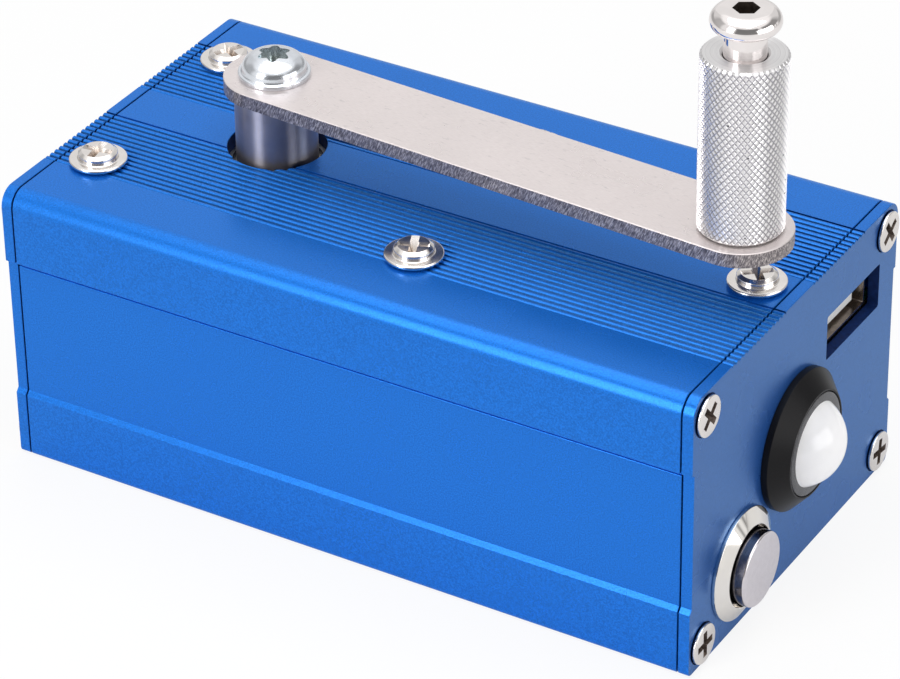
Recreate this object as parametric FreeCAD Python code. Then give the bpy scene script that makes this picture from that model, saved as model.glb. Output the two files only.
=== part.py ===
import FreeCAD, Part
import math
import os

# Hand crank generator. Millimetres, +Z up, +X towards the end with the socket, lamp and button.
# The origin is the centre of the flat underside.

V = FreeCAD.Vector
ORIGIN = V(0, 0, 0)
X_AXIS = V(1, 0, 0)
Y_AXIS = V(0, 1, 0)
Z_AXIS = V(0, 0, 1)

# ---- Gearbox stack, from the floor up ----
FLOOR_WALL = 2.0
GENERATOR_FLOOR_GAP = 1.4
GENERATOR_TAIL = 2.6
CAN_LENGTH = 13.0
LOWER_PLATE_T = 4.0
PILLAR_LENGTH = 10.8
UPPER_PLATE_T = 4.0
TOP_WALL = 2.2

FLOOR_Z = FLOOR_WALL
TAIL_Z = FLOOR_Z + GENERATOR_FLOOR_GAP
CAN_Z = TAIL_Z + GENERATOR_TAIL
LOWER_PLATE_Z = CAN_Z + CAN_LENGTH
PILLAR_Z = LOWER_PLATE_Z + LOWER_PLATE_T
UPPER_PLATE_Z = PILLAR_Z + PILLAR_LENGTH
CEILING_Z = UPPER_PLATE_Z + UPPER_PLATE_T
CASE_H = CEILING_Z + TOP_WALL

# ---- Lengths along the case, from the left end plate to the right one ----
END_PLATE_T = 1.5
GEARBOX_END_GAP = 1.0
GEARBOX_LENGTH = 56.0
BOARD_GAP = 3.0
BOARD_LENGTH = 36.5
BOARD_END_GAP = 0.5

CASE_L = 2 * END_PLATE_T + GEARBOX_END_GAP + GEARBOX_LENGTH + BOARD_GAP + BOARD_LENGTH + BOARD_END_GAP
RIGHT_FACE = CASE_L / 2
RIGHT_INNER = RIGHT_FACE - END_PLATE_T
LEFT_INNER = -RIGHT_INNER
GEARBOX_X0 = LEFT_INNER + GEARBOX_END_GAP
GEARBOX_X1 = GEARBOX_X0 + GEARBOX_LENGTH
BOARD_X0 = GEARBOX_X1 + BOARD_GAP
BOARD_X1 = BOARD_X0 + BOARD_LENGTH

# ---- Case section: the gearbox and the room at its sides set the width ----
GEARBOX_WIDTH = 39.0
GEARBOX_SIDE_ROOM = 8.0
SIDE_WALL = 2.0
TOP_CORNER_R = 2.5
BOTTOM_CORNER_R = 0.8
SIDE_RECESS = 0.5
LOWER_BAND_H = 10.0
LOWER_BAND_CHAMFER = 0.6
UPPER_BAND_H = 10.4
SHELL_END_GAP = 0.12
LIP_T = 0.7
LIP_DROP = 1.5
LIP_CLEARANCE = 0.08
RIB_PITCH = 1.0
RIB_COUNT = 14
RIB_WIDTH = 0.86
RIB_DEPTH = 0.3
RIB_BAND_Y = 10.8

CASE_W = GEARBOX_WIDTH + 2 * GEARBOX_SIDE_ROOM
HALF_W = CASE_W / 2
INNER_Y = HALF_W - SIDE_WALL
SPLIT_Z = CASE_H - UPPER_BAND_H
SHELL_X1 = RIGHT_INNER - SHELL_END_GAP
SHELL_X0 = -SHELL_X1

# ---- Threads, as plain cylinders at the thread's major size ----
M3_R = 1.5
M3_CLEARANCE_R = 1.7
M25_R = 1.25
M4_R = 2.0
M5_R = 2.5
TAP_SPARE = 0.5

# ---- Shared details of heads and recesses; the cross and the pan are in shares of their head ----
EDGE_BREAK = 0.2
SCREW_EDGE = 0.12
PAN_SIDE_H = 0.5
PAN_SHOULDER_R = 0.9
PAN_SHOULDER_H = 0.85
PAN_FLAT_R = 0.6
PAN_CROSS = 0.7
CROSS_SLOT = 0.24
CROSS_TAPER = 0.55
CROSS_REACH = 0.58
CROSS_DEPTH = 0.5
HEX_SIDES = 6
ARC_MIDDLE_INSET = 1 - math.sqrt(0.5)

# ---- End plate screws ----
END_SCREW_INSET = 3.3
END_SCREW_HEAD_R = 2.7
END_SCREW_PROUD = 0.55
END_SCREW_RIM = 0.35
END_SCREW_LENGTH = 9.0
COUNTERSINK_RING = 0.35
COUNTERSINK_STEP = 0.3
BOSS_R = 2.6

END_RIM_Z = END_SCREW_PROUD - END_SCREW_RIM
END_CONE_Z = END_RIM_Z - (END_SCREW_HEAD_R - M3_R)

# ---- Washer-head screws on top ----
FLANGE_R = 3.8
FLANGE_SEAT_R = 3.1
FLANGE_LIFT = 0.35
FLANGE_T = 0.45
FLANGE_HEAD_R = 2.6
FLANGE_HEAD_H = 1.9
FLANGE_CROSS = 1.15
FLANGE_DOME_SIDE = 0.55
FLANGE_DOME_SHOULDER = 0.93
FLANGE_DOME_FLAT = 0.72
TOP_SCREW_LENGTH = 10.0
BRACKET_SCREW_FROM_FACE = 5.9

# ---- Gearbox plates and pillars ----
PILLAR_INSET = 4.25
PILLAR_R = 3.0
PLATE_CORNER_R = 3.0
PILLAR_SCREW_HEAD_R = 2.75
PILLAR_SCREW_HEAD_H = 1.6
PILLAR_SCREW_GRIP = 4.0

PILLAR_Y = GEARBOX_WIDTH / 2 - PILLAR_INSET
PILLARS = [
    (x, y)
    for x in (GEARBOX_X0 + PILLAR_INSET, GEARBOX_X1 - PILLAR_INSET)
    for y in (-PILLAR_Y, PILLAR_Y)
]

# ---- Gear train: teeth, modules and the directions of the centre lines ----
PRESSURE_ANGLE = math.radians(20)
PINION_SHIFT = 0.35
BACKLASH = 0.10
ADDENDUM = 1.0
DEDENDUM = 1.25
FLANK_POINTS = 5
PINION_TEETH = 12
DRIVE_TEETH = 40
IDLER_TEETH = 36
DRIVE_MODULE = 0.8
FIRST_MODULE = 0.6
SECOND_MODULE = 0.5
FIRST_LINE_DEG = 0.0
SECOND_LINE_DEG = -140.0
THIRD_LINE_DEG = 180.0
CRANK_FROM_PLATE_END = 21.8


def step_from(centre, distance, degrees):
    """Point at a distance and direction from a centre, in plan."""
    angle = math.radians(degrees)
    return (centre[0] + distance * math.cos(angle), centre[1] + distance * math.sin(angle))


def mesh_distance(module, teeth):
    """Centre distance of a gear and its pinion."""
    return module * (teeth + PINION_TEETH) / 2


CRANK_AXIS = (GEARBOX_X0 + CRANK_FROM_PLATE_END, 0.0)
FIRST_AXIS = step_from(CRANK_AXIS, mesh_distance(DRIVE_MODULE, DRIVE_TEETH), FIRST_LINE_DEG)
SECOND_AXIS = step_from(FIRST_AXIS, mesh_distance(FIRST_MODULE, IDLER_TEETH), SECOND_LINE_DEG)
ROTOR_AXIS = step_from(SECOND_AXIS, mesh_distance(SECOND_MODULE, IDLER_TEETH), THIRD_LINE_DEG)

# ---- Heights of the gears ----
RUNNING = 0.04
AXIAL_PLAY = 0.10
GEAR_FLOOR_GAP = 0.6
SECOND_GEAR_T = 2.4
GEAR_LEVEL_GAP = 0.6
FIRST_GEAR_T = 2.4
DRIVE_GEAR_LIFT = 1.3
DRIVE_GEAR_T = 3.0
CLIP_T = 0.4
CLIP_WIDTH = 1.3
CLIP_GROOVE = 0.25
PIN_TIP = 0.25
PIN_END_GAP = 0.4

SECOND_GEAR_Z = PILLAR_Z + GEAR_FLOOR_GAP
SECOND_GEAR_TOP = SECOND_GEAR_Z + SECOND_GEAR_T
FIRST_GEAR_Z = SECOND_GEAR_TOP + GEAR_LEVEL_GAP
FIRST_GEAR_TOP = FIRST_GEAR_Z + FIRST_GEAR_T
SECOND_CLIP_Z = FIRST_GEAR_TOP + AXIAL_PLAY
DRIVE_GEAR_Z = FIRST_GEAR_TOP + DRIVE_GEAR_LIFT
DRIVE_GEAR_TOP = DRIVE_GEAR_Z + DRIVE_GEAR_T
ROTOR_PINION_Z = PILLAR_Z + AXIAL_PLAY
ROTOR_PINION_TOP = SECOND_GEAR_TOP + PIN_TIP
FIRST_PIN_R = 1.5
SECOND_PIN_R = 1.0
IDLER_BOSS_WALL = 1.5
WEB_HOLE_COUNT = 6
WEB_HOLE_RING = 0.6
WEB_HOLE_R = 0.17
CLIP_GAP = 0.6

# ---- Crankshaft and its bearings ----
SHAFT_R = 3.0
SHAFT_FLAT = 0.5
BEARING_R = 6.0
BEARING_H = 3.0
BEARING_LIP_R = 4.6
RACE_WALL = 0.95
BALL_R = 0.75
BALL_COUNT = 8
BALL_CLEARANCE = 0.07
BUSH_R = 4.0
BUSH_LIFT = 0.2
SHAFT_TAIL_GAP = 0.4

BEARING_Z = CEILING_Z - BEARING_H
BALL_RING_R = (SHAFT_R + BEARING_R) / 2

# ---- Crank ----
CRANK_HOLE_R = 6.5
HUB_R = 5.35
HUB_SEAT_H = 0.3
HUB_RISE = 8.4
HUB_BORE_DEPTH = 5.0
HUB_BOSS_R = 3.7
HUB_BOSS_FLATS = 6.0
HUB_BOSS_SHORT = 0.1
ARM_T = 2.0
ARM_WIDTH = 13.2
ARM_REACH = 69.5
ARM_ANGLE_DEG = -3.4
ARM_BEVEL = 0.25
CRANK_SCREW_R = 4.7
CRANK_SCREW_DOME_R = 3.9
CRANK_SCREW_RIM = 0.9
CRANK_SCREW_H = 3.1
CRANK_SCREW_LENGTH = 6.0
LOBE_COUNT = 6
LOBE_RING_R = 1.72
LOBE_R = 0.5
LOBE_DEPTH = 1.9
CRANK_DOME_SHOULDER_R = 0.86
CRANK_DOME_SHOULDER_H = 0.8
CRANK_DOME_FLAT_R = 0.55

HUB_Z = CEILING_Z + HUB_SEAT_H
ARM_Z = CASE_H + HUB_RISE
ARM_TOP = ARM_Z + ARM_T
SHAFT_TOP = HUB_Z + HUB_BORE_DEPTH
SHAFT_CLIP_Z = DRIVE_GEAR_Z - CLIP_T
HANDLE_AXIS = step_from(CRANK_AXIS, ARM_REACH, ARM_ANGLE_DEG)

# ---- Handle ----
SLEEVE_R = 5.4
SLEEVE_LENGTH = 23.6
SLEEVE_BORE_GAP = 0.09
SLEEVE_CHAMFER = 0.3
SLEEVE_MOUTH = 0.25
SLEEVE_LIFT = 0.2
NECK_R = 2.65
NECK_SHOWING = 3.2
BOLT_HEAD_R = 4.35
BOLT_HEAD_H = 2.7
BOLT_HEAD_FLAT_R = 3.3
BOLT_HEAD_UNDER_R = 3.9
BOLT_SOCKET_FLATS = 3.0
BOLT_SOCKET_DEPTH = 1.8
BOLT_UNDER_SHARES = (0.3, 0.6, 1.7)
BOLT_OVER_SHARES = (0.3, 0.4)

SLEEVE_Z = ARM_TOP + SLEEVE_LIFT
SLEEVE_TOP = SLEEVE_Z + SLEEVE_LENGTH
BOLT_HEAD_Z = SLEEVE_TOP + NECK_SHOWING

# ---- Generator ----
CAN_R = 12.2
CAN_WALL = 0.8
CAN_TOP_T = 1.0
CAN_BOSS_R = 3.1
CAN_BOSS_H = 1.2
GENERATOR_BUSH_R = 2.1
GENERATOR_BUSH_H = 2.4
ROTOR_SHAFT_R = 1.0
END_CAP_T = 2.0
BRUSH_T = 1.4
BRUSH_WIDTH = 1.6
BRUSH_LENGTH = 2.6
BRUSH_STRIP_T = 0.4
TERMINAL_R = 7.5
COMMUTATOR_R = 2.4
COMMUTATOR_GAP = 0.05
MAGNET_T = 1.7
MAGNET_SPAN_DEG = 150.0
MAGNET_END_GAP = 0.6
ROTOR_R = 9.3
ROTOR_HEIGHT = 5.0
ROTOR_HUB_R = 3.0
POLE_COUNT = 5
POLE_WIDTH = 1.8
POLE_SHOE_T = 1.8
POLE_SHOE_DEG = 56.0
COIL_T = 1.2
COIL_HEAD = 0.9
COIL_GAP = 0.6
COIL_SHOE_GAP = 0.4
COIL_CORNER_R = 0.4
SEGMENT_SLOT = 0.3
SEGMENT_SLOT_DEPTH = 0.4
MOUNT_SCREW_R = 8.0
MOUNT_HEAD_R = 2.2

CAP_TOP = CAN_Z + END_CAP_T
COIL_Z = CAP_TOP + BRUSH_T + COIL_GAP
ROTOR_Z = COIL_Z + COIL_HEAD
ROTOR_TOP = ROTOR_Z + ROTOR_HEIGHT
MAGNET_R = CAN_R - CAN_WALL
CAN_CEILING = LOWER_PLATE_Z - CAN_TOP_T

# ---- Lamp on the right end plate ----
LAMP_Y = 0.0
LAMP_Z = 19.4
LAMP_BEZEL_R = 9.4
LAMP_RIM = 0.9
LAMP_CONE = 2.0
LAMP_FRONT_R = 7.15
LAMP_FLANGE_R = 6.8
LAMP_FLANGE_T = 0.9
LAMP_DOME_R = 5.6
LAMP_DOME_H = 3.6
LAMP_LENS_WALL = 0.8
LAMP_BARREL_R = 6.0
LAMP_BARREL_WALL = 0.8
LAMP_DEPTH = 9.0
LAMP_BOARD_T = 1.0
LAMP_CHIP = 3.4
LAMP_CHIP_T = 0.8
PANEL_FIT = 0.1
LAMP_NUT_FLATS = 15.0
LAMP_NUT_T = 2.3

LAMP_FRONT = RIGHT_FACE + LAMP_RIM + LAMP_CONE
LAMP_BACK = RIGHT_FACE - LAMP_DEPTH
LAMP_BOARD_X = LAMP_FRONT - LAMP_FLANGE_T - LAMP_CHIP_T - LAMP_BOARD_T

# ---- Push button on the right end plate, between the lamp and the lower corner screw ----
BUTTON_ROOM_SHARE = 0.354
BUTTON_Z = 9.3
BUTTON_BEZEL_R = 7.5
BUTTON_RIM = 0.5
BUTTON_BEZEL_H = 1.5
BUTTON_FACE_R = 5.65
BUTTON_BARREL_R = 5.9
BUTTON_WELL_R = 5.4
BUTTON_WELL_DEPTH = 2.0
BUTTON_R = 4.95
BUTTON_GUIDE_GAP = 0.06
BUTTON_GUIDE = 3.0
BUTTON_COLLAR_R = 5.25
BUTTON_COLLAR_T = 1.1
BUTTON_REAR_R = 5.35
BUTTON_TRAVEL = 1.2
BUTTON_PRESSED_PROUD = 0.4
BUTTON_DEPTH = 14.0
BUTTON_EDGE = 0.3
BUTTON_NUT_FLATS = 14.0
BUTTON_NUT_T = 2.0
BLOCK_INSERT = 3.5
BLOCK_FLANGE_T = 3.0
BLOCK_FLANGE_R = 5.8
SPRING_R = 3.2
SPRING_WIRE_R = 0.35
SPRING_TURNS = 5
SPRING_SEAT_GAP = 0.02
SPRING_PILOT_R = 2.4
SPRING_PILOT = 1.5
BUTTON_TAB_Y = 2.2
BUTTON_TAB_T = 0.5
BUTTON_TAB_W = 2.0
BUTTON_TAB_L = 3.5


def beside(radius, rise):
    """Sideways distance between two round pieces that touch, from the sum of their radii."""
    return math.sqrt(radius ** 2 - rise ** 2)


BUTTON_NEAREST = beside(LAMP_BEZEL_R + BUTTON_BEZEL_R, LAMP_Z - BUTTON_Z) - LAMP_Y
BUTTON_FARTHEST = HALF_W - END_SCREW_INSET - beside(
    BUTTON_BEZEL_R + END_SCREW_HEAD_R, BUTTON_Z - END_SCREW_INSET,
)
BUTTON_Y = -BUTTON_NEAREST - BUTTON_ROOM_SHARE * (BUTTON_FARTHEST - BUTTON_NEAREST)
BUTTON_FRONT = RIGHT_FACE + BUTTON_BEZEL_H
BUTTON_TIP = BUTTON_FRONT + BUTTON_PRESSED_PROUD + BUTTON_TRAVEL
BUTTON_SHOULDER = BUTTON_FRONT - BUTTON_WELL_DEPTH - BUTTON_GUIDE
BUTTON_BACK = RIGHT_FACE - BUTTON_DEPTH
COLLAR_FRONT = BUTTON_SHOULDER - AXIAL_PLAY
COLLAR_BACK = COLLAR_FRONT - BUTTON_COLLAR_T
BLOCK_FRONT = BUTTON_BACK + BLOCK_INSERT
BLOCK_BACK = BUTTON_BACK - BLOCK_FLANGE_T

# ---- USB socket and circuit board ----
USB_Y = 15.35
USB_Z = 29.5
USB_HOLE_W = 14.7
USB_HOLE_H = 6.35
USB_HOLE_CORNER = 0.3
USB_W = 13.2
USB_H = 5.7
USB_DEPTH = 14.0
USB_WALL = 0.3
USB_FACE_GAP = 0.15
USB_TONGUE_W = 11.1
USB_TONGUE_T = 1.9
USB_TONGUE_RISE = 0.6
USB_TONGUE_BACK = 1.35
USB_BODY_T = 4.0
USB_CONTACTS = 4
USB_CONTACT_PITCH = 2.3
USB_CONTACT_W = 1.1
USB_CONTACT_T = 0.2
BOARD_T = 1.6
BOARD_WALL_GAP = 0.3
BOARD_NOTCH_GAP = 0.4
BOARD_NOTCH_DEPTH = 9.0
GUIDE_T = 1.0
GUIDE_REACH = 0.75
GUIDE_CLEARANCE = 0.05

USB_FACE = RIGHT_INNER - USB_FACE_GAP
USB_BACK = USB_FACE - USB_DEPTH
BOARD_TOP = USB_Z - USB_H / 2
BOARD_Z = BOARD_TOP - BOARD_T
BOARD_HALF_W = INNER_Y - BOARD_WALL_GAP

# ---- End bracket, behind the right end plate ----
BRACKET_W = 16.0
BRACKET_T = 1.5
BRACKET_FOOT = 10.5

BRACKET_X0 = RIGHT_INNER - BRACKET_T
BRACKET_SCREW_X = RIGHT_FACE - BRACKET_SCREW_FROM_FACE

# ---- Parts on the board ----
CAPACITOR_R = 4.0
CAPACITOR_H = 10.2
CAPACITOR_NECK = 0.25
CAPACITOR_NECK_RISE = 0.12
CAPACITOR_SPOTS = [(6.5, 10.0), (15.5, 10.0)]
INDUCTOR_SIDE = 9.0
INDUCTOR_H = 4.6
INDUCTOR_CORNER = 0.33
INDUCTOR_RING = (0.8, 0.7)
INDUCTOR_RING_DEPTH = 0.1
INDUCTOR_SPOT = (11.0, -2.0)
DIODE_SIZE = (4.4, 2.6, 2.2)
DIODE_X = 4.2
DIODE_ROW_FROM_EDGE = 3.2
DIODE_PITCH = 4.0
DIODE_COUNT = 4
CHIP_SIZE = (4.9, 3.9, 1.6)
CHIP_SPOTS = [(14.5, -13.0), (14.5, -19.0)]
CONNECTOR_SIZE = (5.0, 7.4, 5.8)
CONNECTOR_PIN_Y = 1.25
CONNECTOR_PIN_DROP = 3.1
LEAD_R = 0.6
GENERATOR_PLUG_X = 2.5
LAMP_PLUG_X = 16.0
LAMP_PLUG_ASIDE = 3.0
BUTTON_PLUG_X = 15.0
BUTTON_PLUG_ASIDE = -1.0
CONNECTOR_MOUTH = 0.25
CONNECTOR_SLIT_H = 0.2
LEAD_FLOOR_GAP = 0.5
LEAD_BEND_SHARE = 0.45
LEAD_END = 2.0
FLOOR_RUN_SHARE = 0.45
GENERATOR_BEND_INSET = 2.0
GENERATOR_RISE_RUN = 6.0
GENERATOR_RISES = (1.0, 5.0)
GENERATOR_PLUG_BEND = (4.5, 3.0)
LAMP_BEND_OUT = 1.0
LAMP_PLUG_BEND = 3.0
BUTTON_LOOP = (3.0, 7.0, 5.0)
TERMINAL_SLOT_GAP = 0.05

GENERATOR_PLUG_Y = ROTOR_AXIS[1]
LAMP_PLUG_Y = LAMP_Y + LAMP_PLUG_ASIDE
BUTTON_PLUG_Y = BUTTON_Y + BUTTON_PLUG_ASIDE
PLUG_Z = BOARD_Z - CONNECTOR_PIN_DROP
FLOOR_LEAD_Z = FLOOR_Z + LEAD_FLOOR_GAP + LEAD_R


# ======================================================================
# Geometry helpers
# ======================================================================

def block(x0, x1, y0, y1, z0, z1):
    """Block between two corners."""
    return Part.makeBox(x1 - x0, y1 - y0, z1 - z0, V(x0, y0, z0))


def rod(radius, z0, z1, at=(0.0, 0.0)):
    """Upright cylinder."""
    return Part.makeCylinder(radius, z1 - z0, V(at[0], at[1], z0))


def tube(outer_r, inner_r, z0, z1, at=(0.0, 0.0)):
    """Upright tube."""
    return rod(outer_r, z0, z1, at).cut(rod(inner_r, z0, z1, at))


def rod_x(radius, x0, x1, y, z):
    """Cylinder along X."""
    return Part.makeCylinder(radius, x1 - x0, V(x0, y, z), X_AXIS)


def moved(shape, x, y, z):
    """Copy of a shape, moved."""
    copy = shape.copy()
    copy.translate(V(x, y, z))
    return copy


def facing_x(shape, x, y, z, sign=1):
    """Copy of a shape drawn along +Z, turned to face +X or -X and moved."""
    copy = shape.copy()
    copy.rotate(ORIGIN, Y_AXIS, 90 * sign)
    copy.translate(V(x, y, z))
    return copy


def closed_wire(start, steps):
    """Wire of lines and arcs, closed by a line. A step is an end point or an (on arc, end) pair."""
    edges = []
    here = start
    for step in steps:
        if isinstance(step, tuple):
            edges.append(Part.Arc(here, step[0], step[1]).toShape())
            here = step[1]
        else:
            edges.append(Part.LineSegment(here, step).toShape())
            here = step
    edges.append(Part.LineSegment(here, start).toShape())
    return Part.Wire(edges)


def lathe(points, at=(0.0, 0.0, 0.0)):
    """Solid turned about the upright axis from (radius, height) points; a pair of them is an arc."""
    start = V(points[0][0], 0, points[0][1])
    steps = []
    for point in points[1:]:
        if isinstance(point[0], tuple):
            steps.append(tuple(V(radius, 0, height) for radius, height in point))
        else:
            steps.append(V(point[0], 0, point[1]))
    solid = Part.Face(closed_wire(start, steps)).revolve(ORIGIN, Z_AXIS, 360)
    solid.translate(V(*at))
    return solid


def prism(points, height, z=0.0):
    """Upright prism on a polygon of (x, y) points."""
    corners = [V(x, y, z) for x, y in points]
    return Part.Face(Part.makePolygon(corners + corners[:1])).extrude(V(0, 0, height))


def polygon_points(sides, flats, turn_deg=0.0):
    """Corners of a regular polygon of a given size across its flats."""
    radius = flats / 2 / math.cos(math.pi / sides)
    angles = [math.radians(turn_deg) + 2 * math.pi * i / sides for i in range(sides)]
    return [(radius * math.cos(angle), radius * math.sin(angle)) for angle in angles]


def sector(outer_r, inner_r, z0, z1, middle_deg, span_deg):
    """Part of an upright tube that spans an angle about a middle direction."""
    start = V(inner_r, 0, z0)
    steps = [V(outer_r, 0, z0), V(outer_r, 0, z1), V(inner_r, 0, z1)]
    face = Part.Face(closed_wire(start, steps))
    face.rotate(ORIGIN, Z_AXIS, middle_deg - span_deg / 2)
    return face.revolve(ORIGIN, Z_AXIS, span_deg)


def edges_along(shape, direction):
    """Straight edges of a shape that run along a direction."""
    return [e for e in shape.Edges if abs(e.tangentAt(e.FirstParameter).dot(direction)) > 0.9]


def rounded_plate(x0, x1, y0, y1, z0, z1, corner_r):
    """Flat plate with rounded upright edges."""
    plate = block(x0, x1, y0, y1, z0, z1)
    return plate.makeFillet(corner_r, edges_along(plate, Z_AXIS))


def lead(points, radius):
    """Round lead along straight runs, joined by tangent arcs as large as the runs leave room for."""
    runs = [b - a for a, b in zip(points, points[1:])]
    edges = []
    here = points[0]
    for corner, before, after in zip(points[1:], runs, runs[1:]):
        tangent = LEAD_BEND_SHARE * min(before.Length, after.Length)
        turn = before.getAngle(after)
        into, out = V(before).normalize(), V(after).normalize()
        arc_start = corner - into * tangent
        arc_end = corner + out * tangent
        bend_r = tangent / math.tan(turn / 2)
        inward = (out - into).normalize()
        arc_middle = corner + inward * (bend_r / math.cos(turn / 2) - bend_r)
        edges.append(Part.LineSegment(here, arc_start).toShape())
        edges.append(Part.Arc(arc_start, arc_middle, arc_end).toShape())
        here = arc_end
    edges.append(Part.LineSegment(here, points[-1]).toShape())
    ring = Part.Wire(Part.makeCircle(radius, points[0], runs[0]))
    return Part.Wire(edges).makePipeShell([ring], True, False)


# ======================================================================
# Screws, drawn with the head upwards and the seat at height 0
# ======================================================================

def cross_outline(reach, slot, z):
    """Outline of a cross recess at one height."""
    corners = []
    for quarter in range(4):
        angle = quarter * math.pi / 2
        for x, y in ((reach, -slot), (reach, slot), (slot, slot)):
            corners.append(V(
                x * math.cos(angle) - y * math.sin(angle),
                x * math.sin(angle) + y * math.cos(angle),
                z,
            ))
    return Part.makePolygon(corners + corners[:1])


def cross_recess(head_r, top_z):
    """Tapered cross recess, cut down from a head's top."""
    reach = CROSS_REACH * head_r
    slot = CROSS_SLOT * head_r
    bottom_z = top_z - CROSS_DEPTH * head_r
    top = cross_outline(reach, slot, top_z)
    bottom = cross_outline(reach * CROSS_TAPER, slot * CROSS_TAPER, bottom_z)
    return Part.makeLoft([top, bottom], True)


def end_plate_screw():
    """Countersunk screw whose rim stands a little proud of the plate's face."""
    head = lathe([
        (0, END_CONE_Z),
        (M3_R, END_CONE_Z),
        (END_SCREW_HEAD_R, END_RIM_Z),
        (END_SCREW_HEAD_R, END_SCREW_PROUD - SCREW_EDGE),
        (END_SCREW_HEAD_R - SCREW_EDGE, END_SCREW_PROUD),
        (0, END_SCREW_PROUD),
    ])
    shank = rod(M3_R, -END_SCREW_LENGTH, END_CONE_Z)
    return head.fuse(shank).cut(cross_recess(END_SCREW_HEAD_R, END_SCREW_PROUD))


def end_plate_countersink():
    """Room that an end plate leaves for its screw: a stepped ring, the cone and the shank's hole."""
    ring_r = END_SCREW_HEAD_R + COUNTERSINK_RING
    cone_r = M3_R - COUNTERSINK_STEP - END_CONE_Z
    return lathe([
        (0, -END_PLATE_T - TAP_SPARE),
        (M3_R, -END_PLATE_T - TAP_SPARE),
        (M3_R, END_CONE_Z),
        (cone_r, -COUNTERSINK_STEP),
        (ring_r, -COUNTERSINK_STEP),
        (ring_r, TAP_SPARE),
        (0, TAP_SPARE),
    ])


def top_screw():
    """Washer-head screw: a lifted flange under a low domed head."""
    flange_top = FLANGE_LIFT + FLANGE_T
    dome_side = FLANGE_DOME_SIDE * (FLANGE_HEAD_H - flange_top)
    shoulder_r = FLANGE_DOME_SHOULDER * FLANGE_HEAD_R
    flat_r = FLANGE_DOME_FLAT * FLANGE_HEAD_R
    head = lathe([
        (0, 0),
        (FLANGE_SEAT_R, 0),
        (FLANGE_R, FLANGE_LIFT),
        (FLANGE_R, flange_top - SCREW_EDGE),
        (FLANGE_R - SCREW_EDGE, flange_top),
        (FLANGE_HEAD_R + SCREW_EDGE, flange_top + SCREW_EDGE),
        (FLANGE_HEAD_R, flange_top + dome_side),
        ((shoulder_r, FLANGE_HEAD_H - SCREW_EDGE), (flat_r, FLANGE_HEAD_H)),
        (0, FLANGE_HEAD_H),
    ])
    shank = rod(M3_R, -TOP_SCREW_LENGTH, 0)
    return head.fuse(shank).cut(cross_recess(FLANGE_CROSS * FLANGE_HEAD_R, FLANGE_HEAD_H))


def pan_screw(head_r, head_h, shank_r, length):
    """Pan-head screw with a cross recess."""
    head = lathe([
        (0, 0),
        (head_r, 0),
        (head_r, PAN_SIDE_H * head_h),
        ((PAN_SHOULDER_R * head_r, PAN_SHOULDER_H * head_h), (PAN_FLAT_R * head_r, head_h)),
        (0, head_h),
    ])
    return head.fuse(rod(shank_r, -length, 0)).cut(cross_recess(PAN_CROSS * head_r, head_h))


# ======================================================================
# Gears
# ======================================================================

def involute_offset(cosine):
    """Involute function of the pressure angle that has this cosine."""
    angle = math.acos(cosine)
    return math.tan(angle) - angle


def gear_wire(teeth, module, shift, turn, z):
    """Outline of an involute gear with a tooth's middle at the angle turn, in radians."""
    pitch_r = module * teeth / 2
    base_r = pitch_r * math.cos(PRESSURE_ANGLE)
    tip_r = pitch_r + module * (ADDENDUM + shift)
    root_r = pitch_r - module * (DEDENDUM - shift)
    thickness = module * (math.pi / 2 + 2 * shift * math.tan(PRESSURE_ANGLE)) - BACKLASH / 2
    pitch_half = thickness / 2 / pitch_r + involute_offset(math.cos(PRESSURE_ANGLE))
    flank_r = max(base_r, root_r)
    radii = [flank_r + (tip_r - flank_r) * i / (FLANK_POINTS - 1) for i in range(FLANK_POINTS)]
    halves = [pitch_half - involute_offset(min(1.0, base_r / r)) for r in radii]

    def at(radius, angle):
        return V(radius * math.cos(angle), radius * math.sin(angle), z)

    edges = []
    step = 2 * math.pi / teeth
    for i in range(teeth):
        middle = turn + i * step
        rising = [at(r, middle - half) for r, half in zip(radii, halves)]
        falling = [at(r, middle + half) for r, half in zip(radii, halves)][::-1]
        root_in = at(root_r, middle - halves[0])
        root_out = at(root_r, middle + halves[0])
        next_in = at(root_r, middle + step - halves[0])
        edges.append(Part.LineSegment(root_in, rising[0]).toShape())
        edges.append(interpolated(rising))
        edges.append(Part.Arc(rising[-1], at(tip_r, middle), falling[0]).toShape())
        edges.append(interpolated(falling))
        edges.append(Part.LineSegment(falling[-1], root_out).toShape())
        edges.append(Part.Arc(root_out, at(root_r, middle + step / 2), next_in).toShape())
    return Part.Wire(edges)


def interpolated(points):
    """Smooth edge through points."""
    curve = Part.BSplineCurve()
    curve.interpolate(points)
    return curve.toShape()


def gear(teeth, module, shift, turn, z0, z1):
    """Spur gear about the upright axis through the origin."""
    return Part.Face(gear_wire(teeth, module, shift, turn, z0)).extrude(V(0, 0, z1 - z0))


def pinion_gear(module, turn, z0, z1):
    """Pinion of the train's tooth count and profile shift."""
    return gear(PINION_TEETH, module, PINION_SHIFT, turn, z0, z1)


def meshing_turn(driver_turn, driver_teeth, driven_teeth, line_deg):
    """Angle of a driven gear's tooth that meshes with a driver, for a centre line's direction."""
    line = math.radians(line_deg)
    phase = (line - driver_turn) * driver_teeth / (2 * math.pi)
    return line + math.pi - (0.5 - phase) * 2 * math.pi / driven_teeth


DRIVE_TURN = math.radians(ARM_ANGLE_DEG)
FIRST_PINION_TURN = meshing_turn(DRIVE_TURN, DRIVE_TEETH, PINION_TEETH, FIRST_LINE_DEG)
SECOND_PINION_TURN = meshing_turn(0.0, IDLER_TEETH, PINION_TEETH, SECOND_LINE_DEG)
ROTOR_PINION_TURN = meshing_turn(0.0, IDLER_TEETH, PINION_TEETH, THIRD_LINE_DEG)


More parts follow.
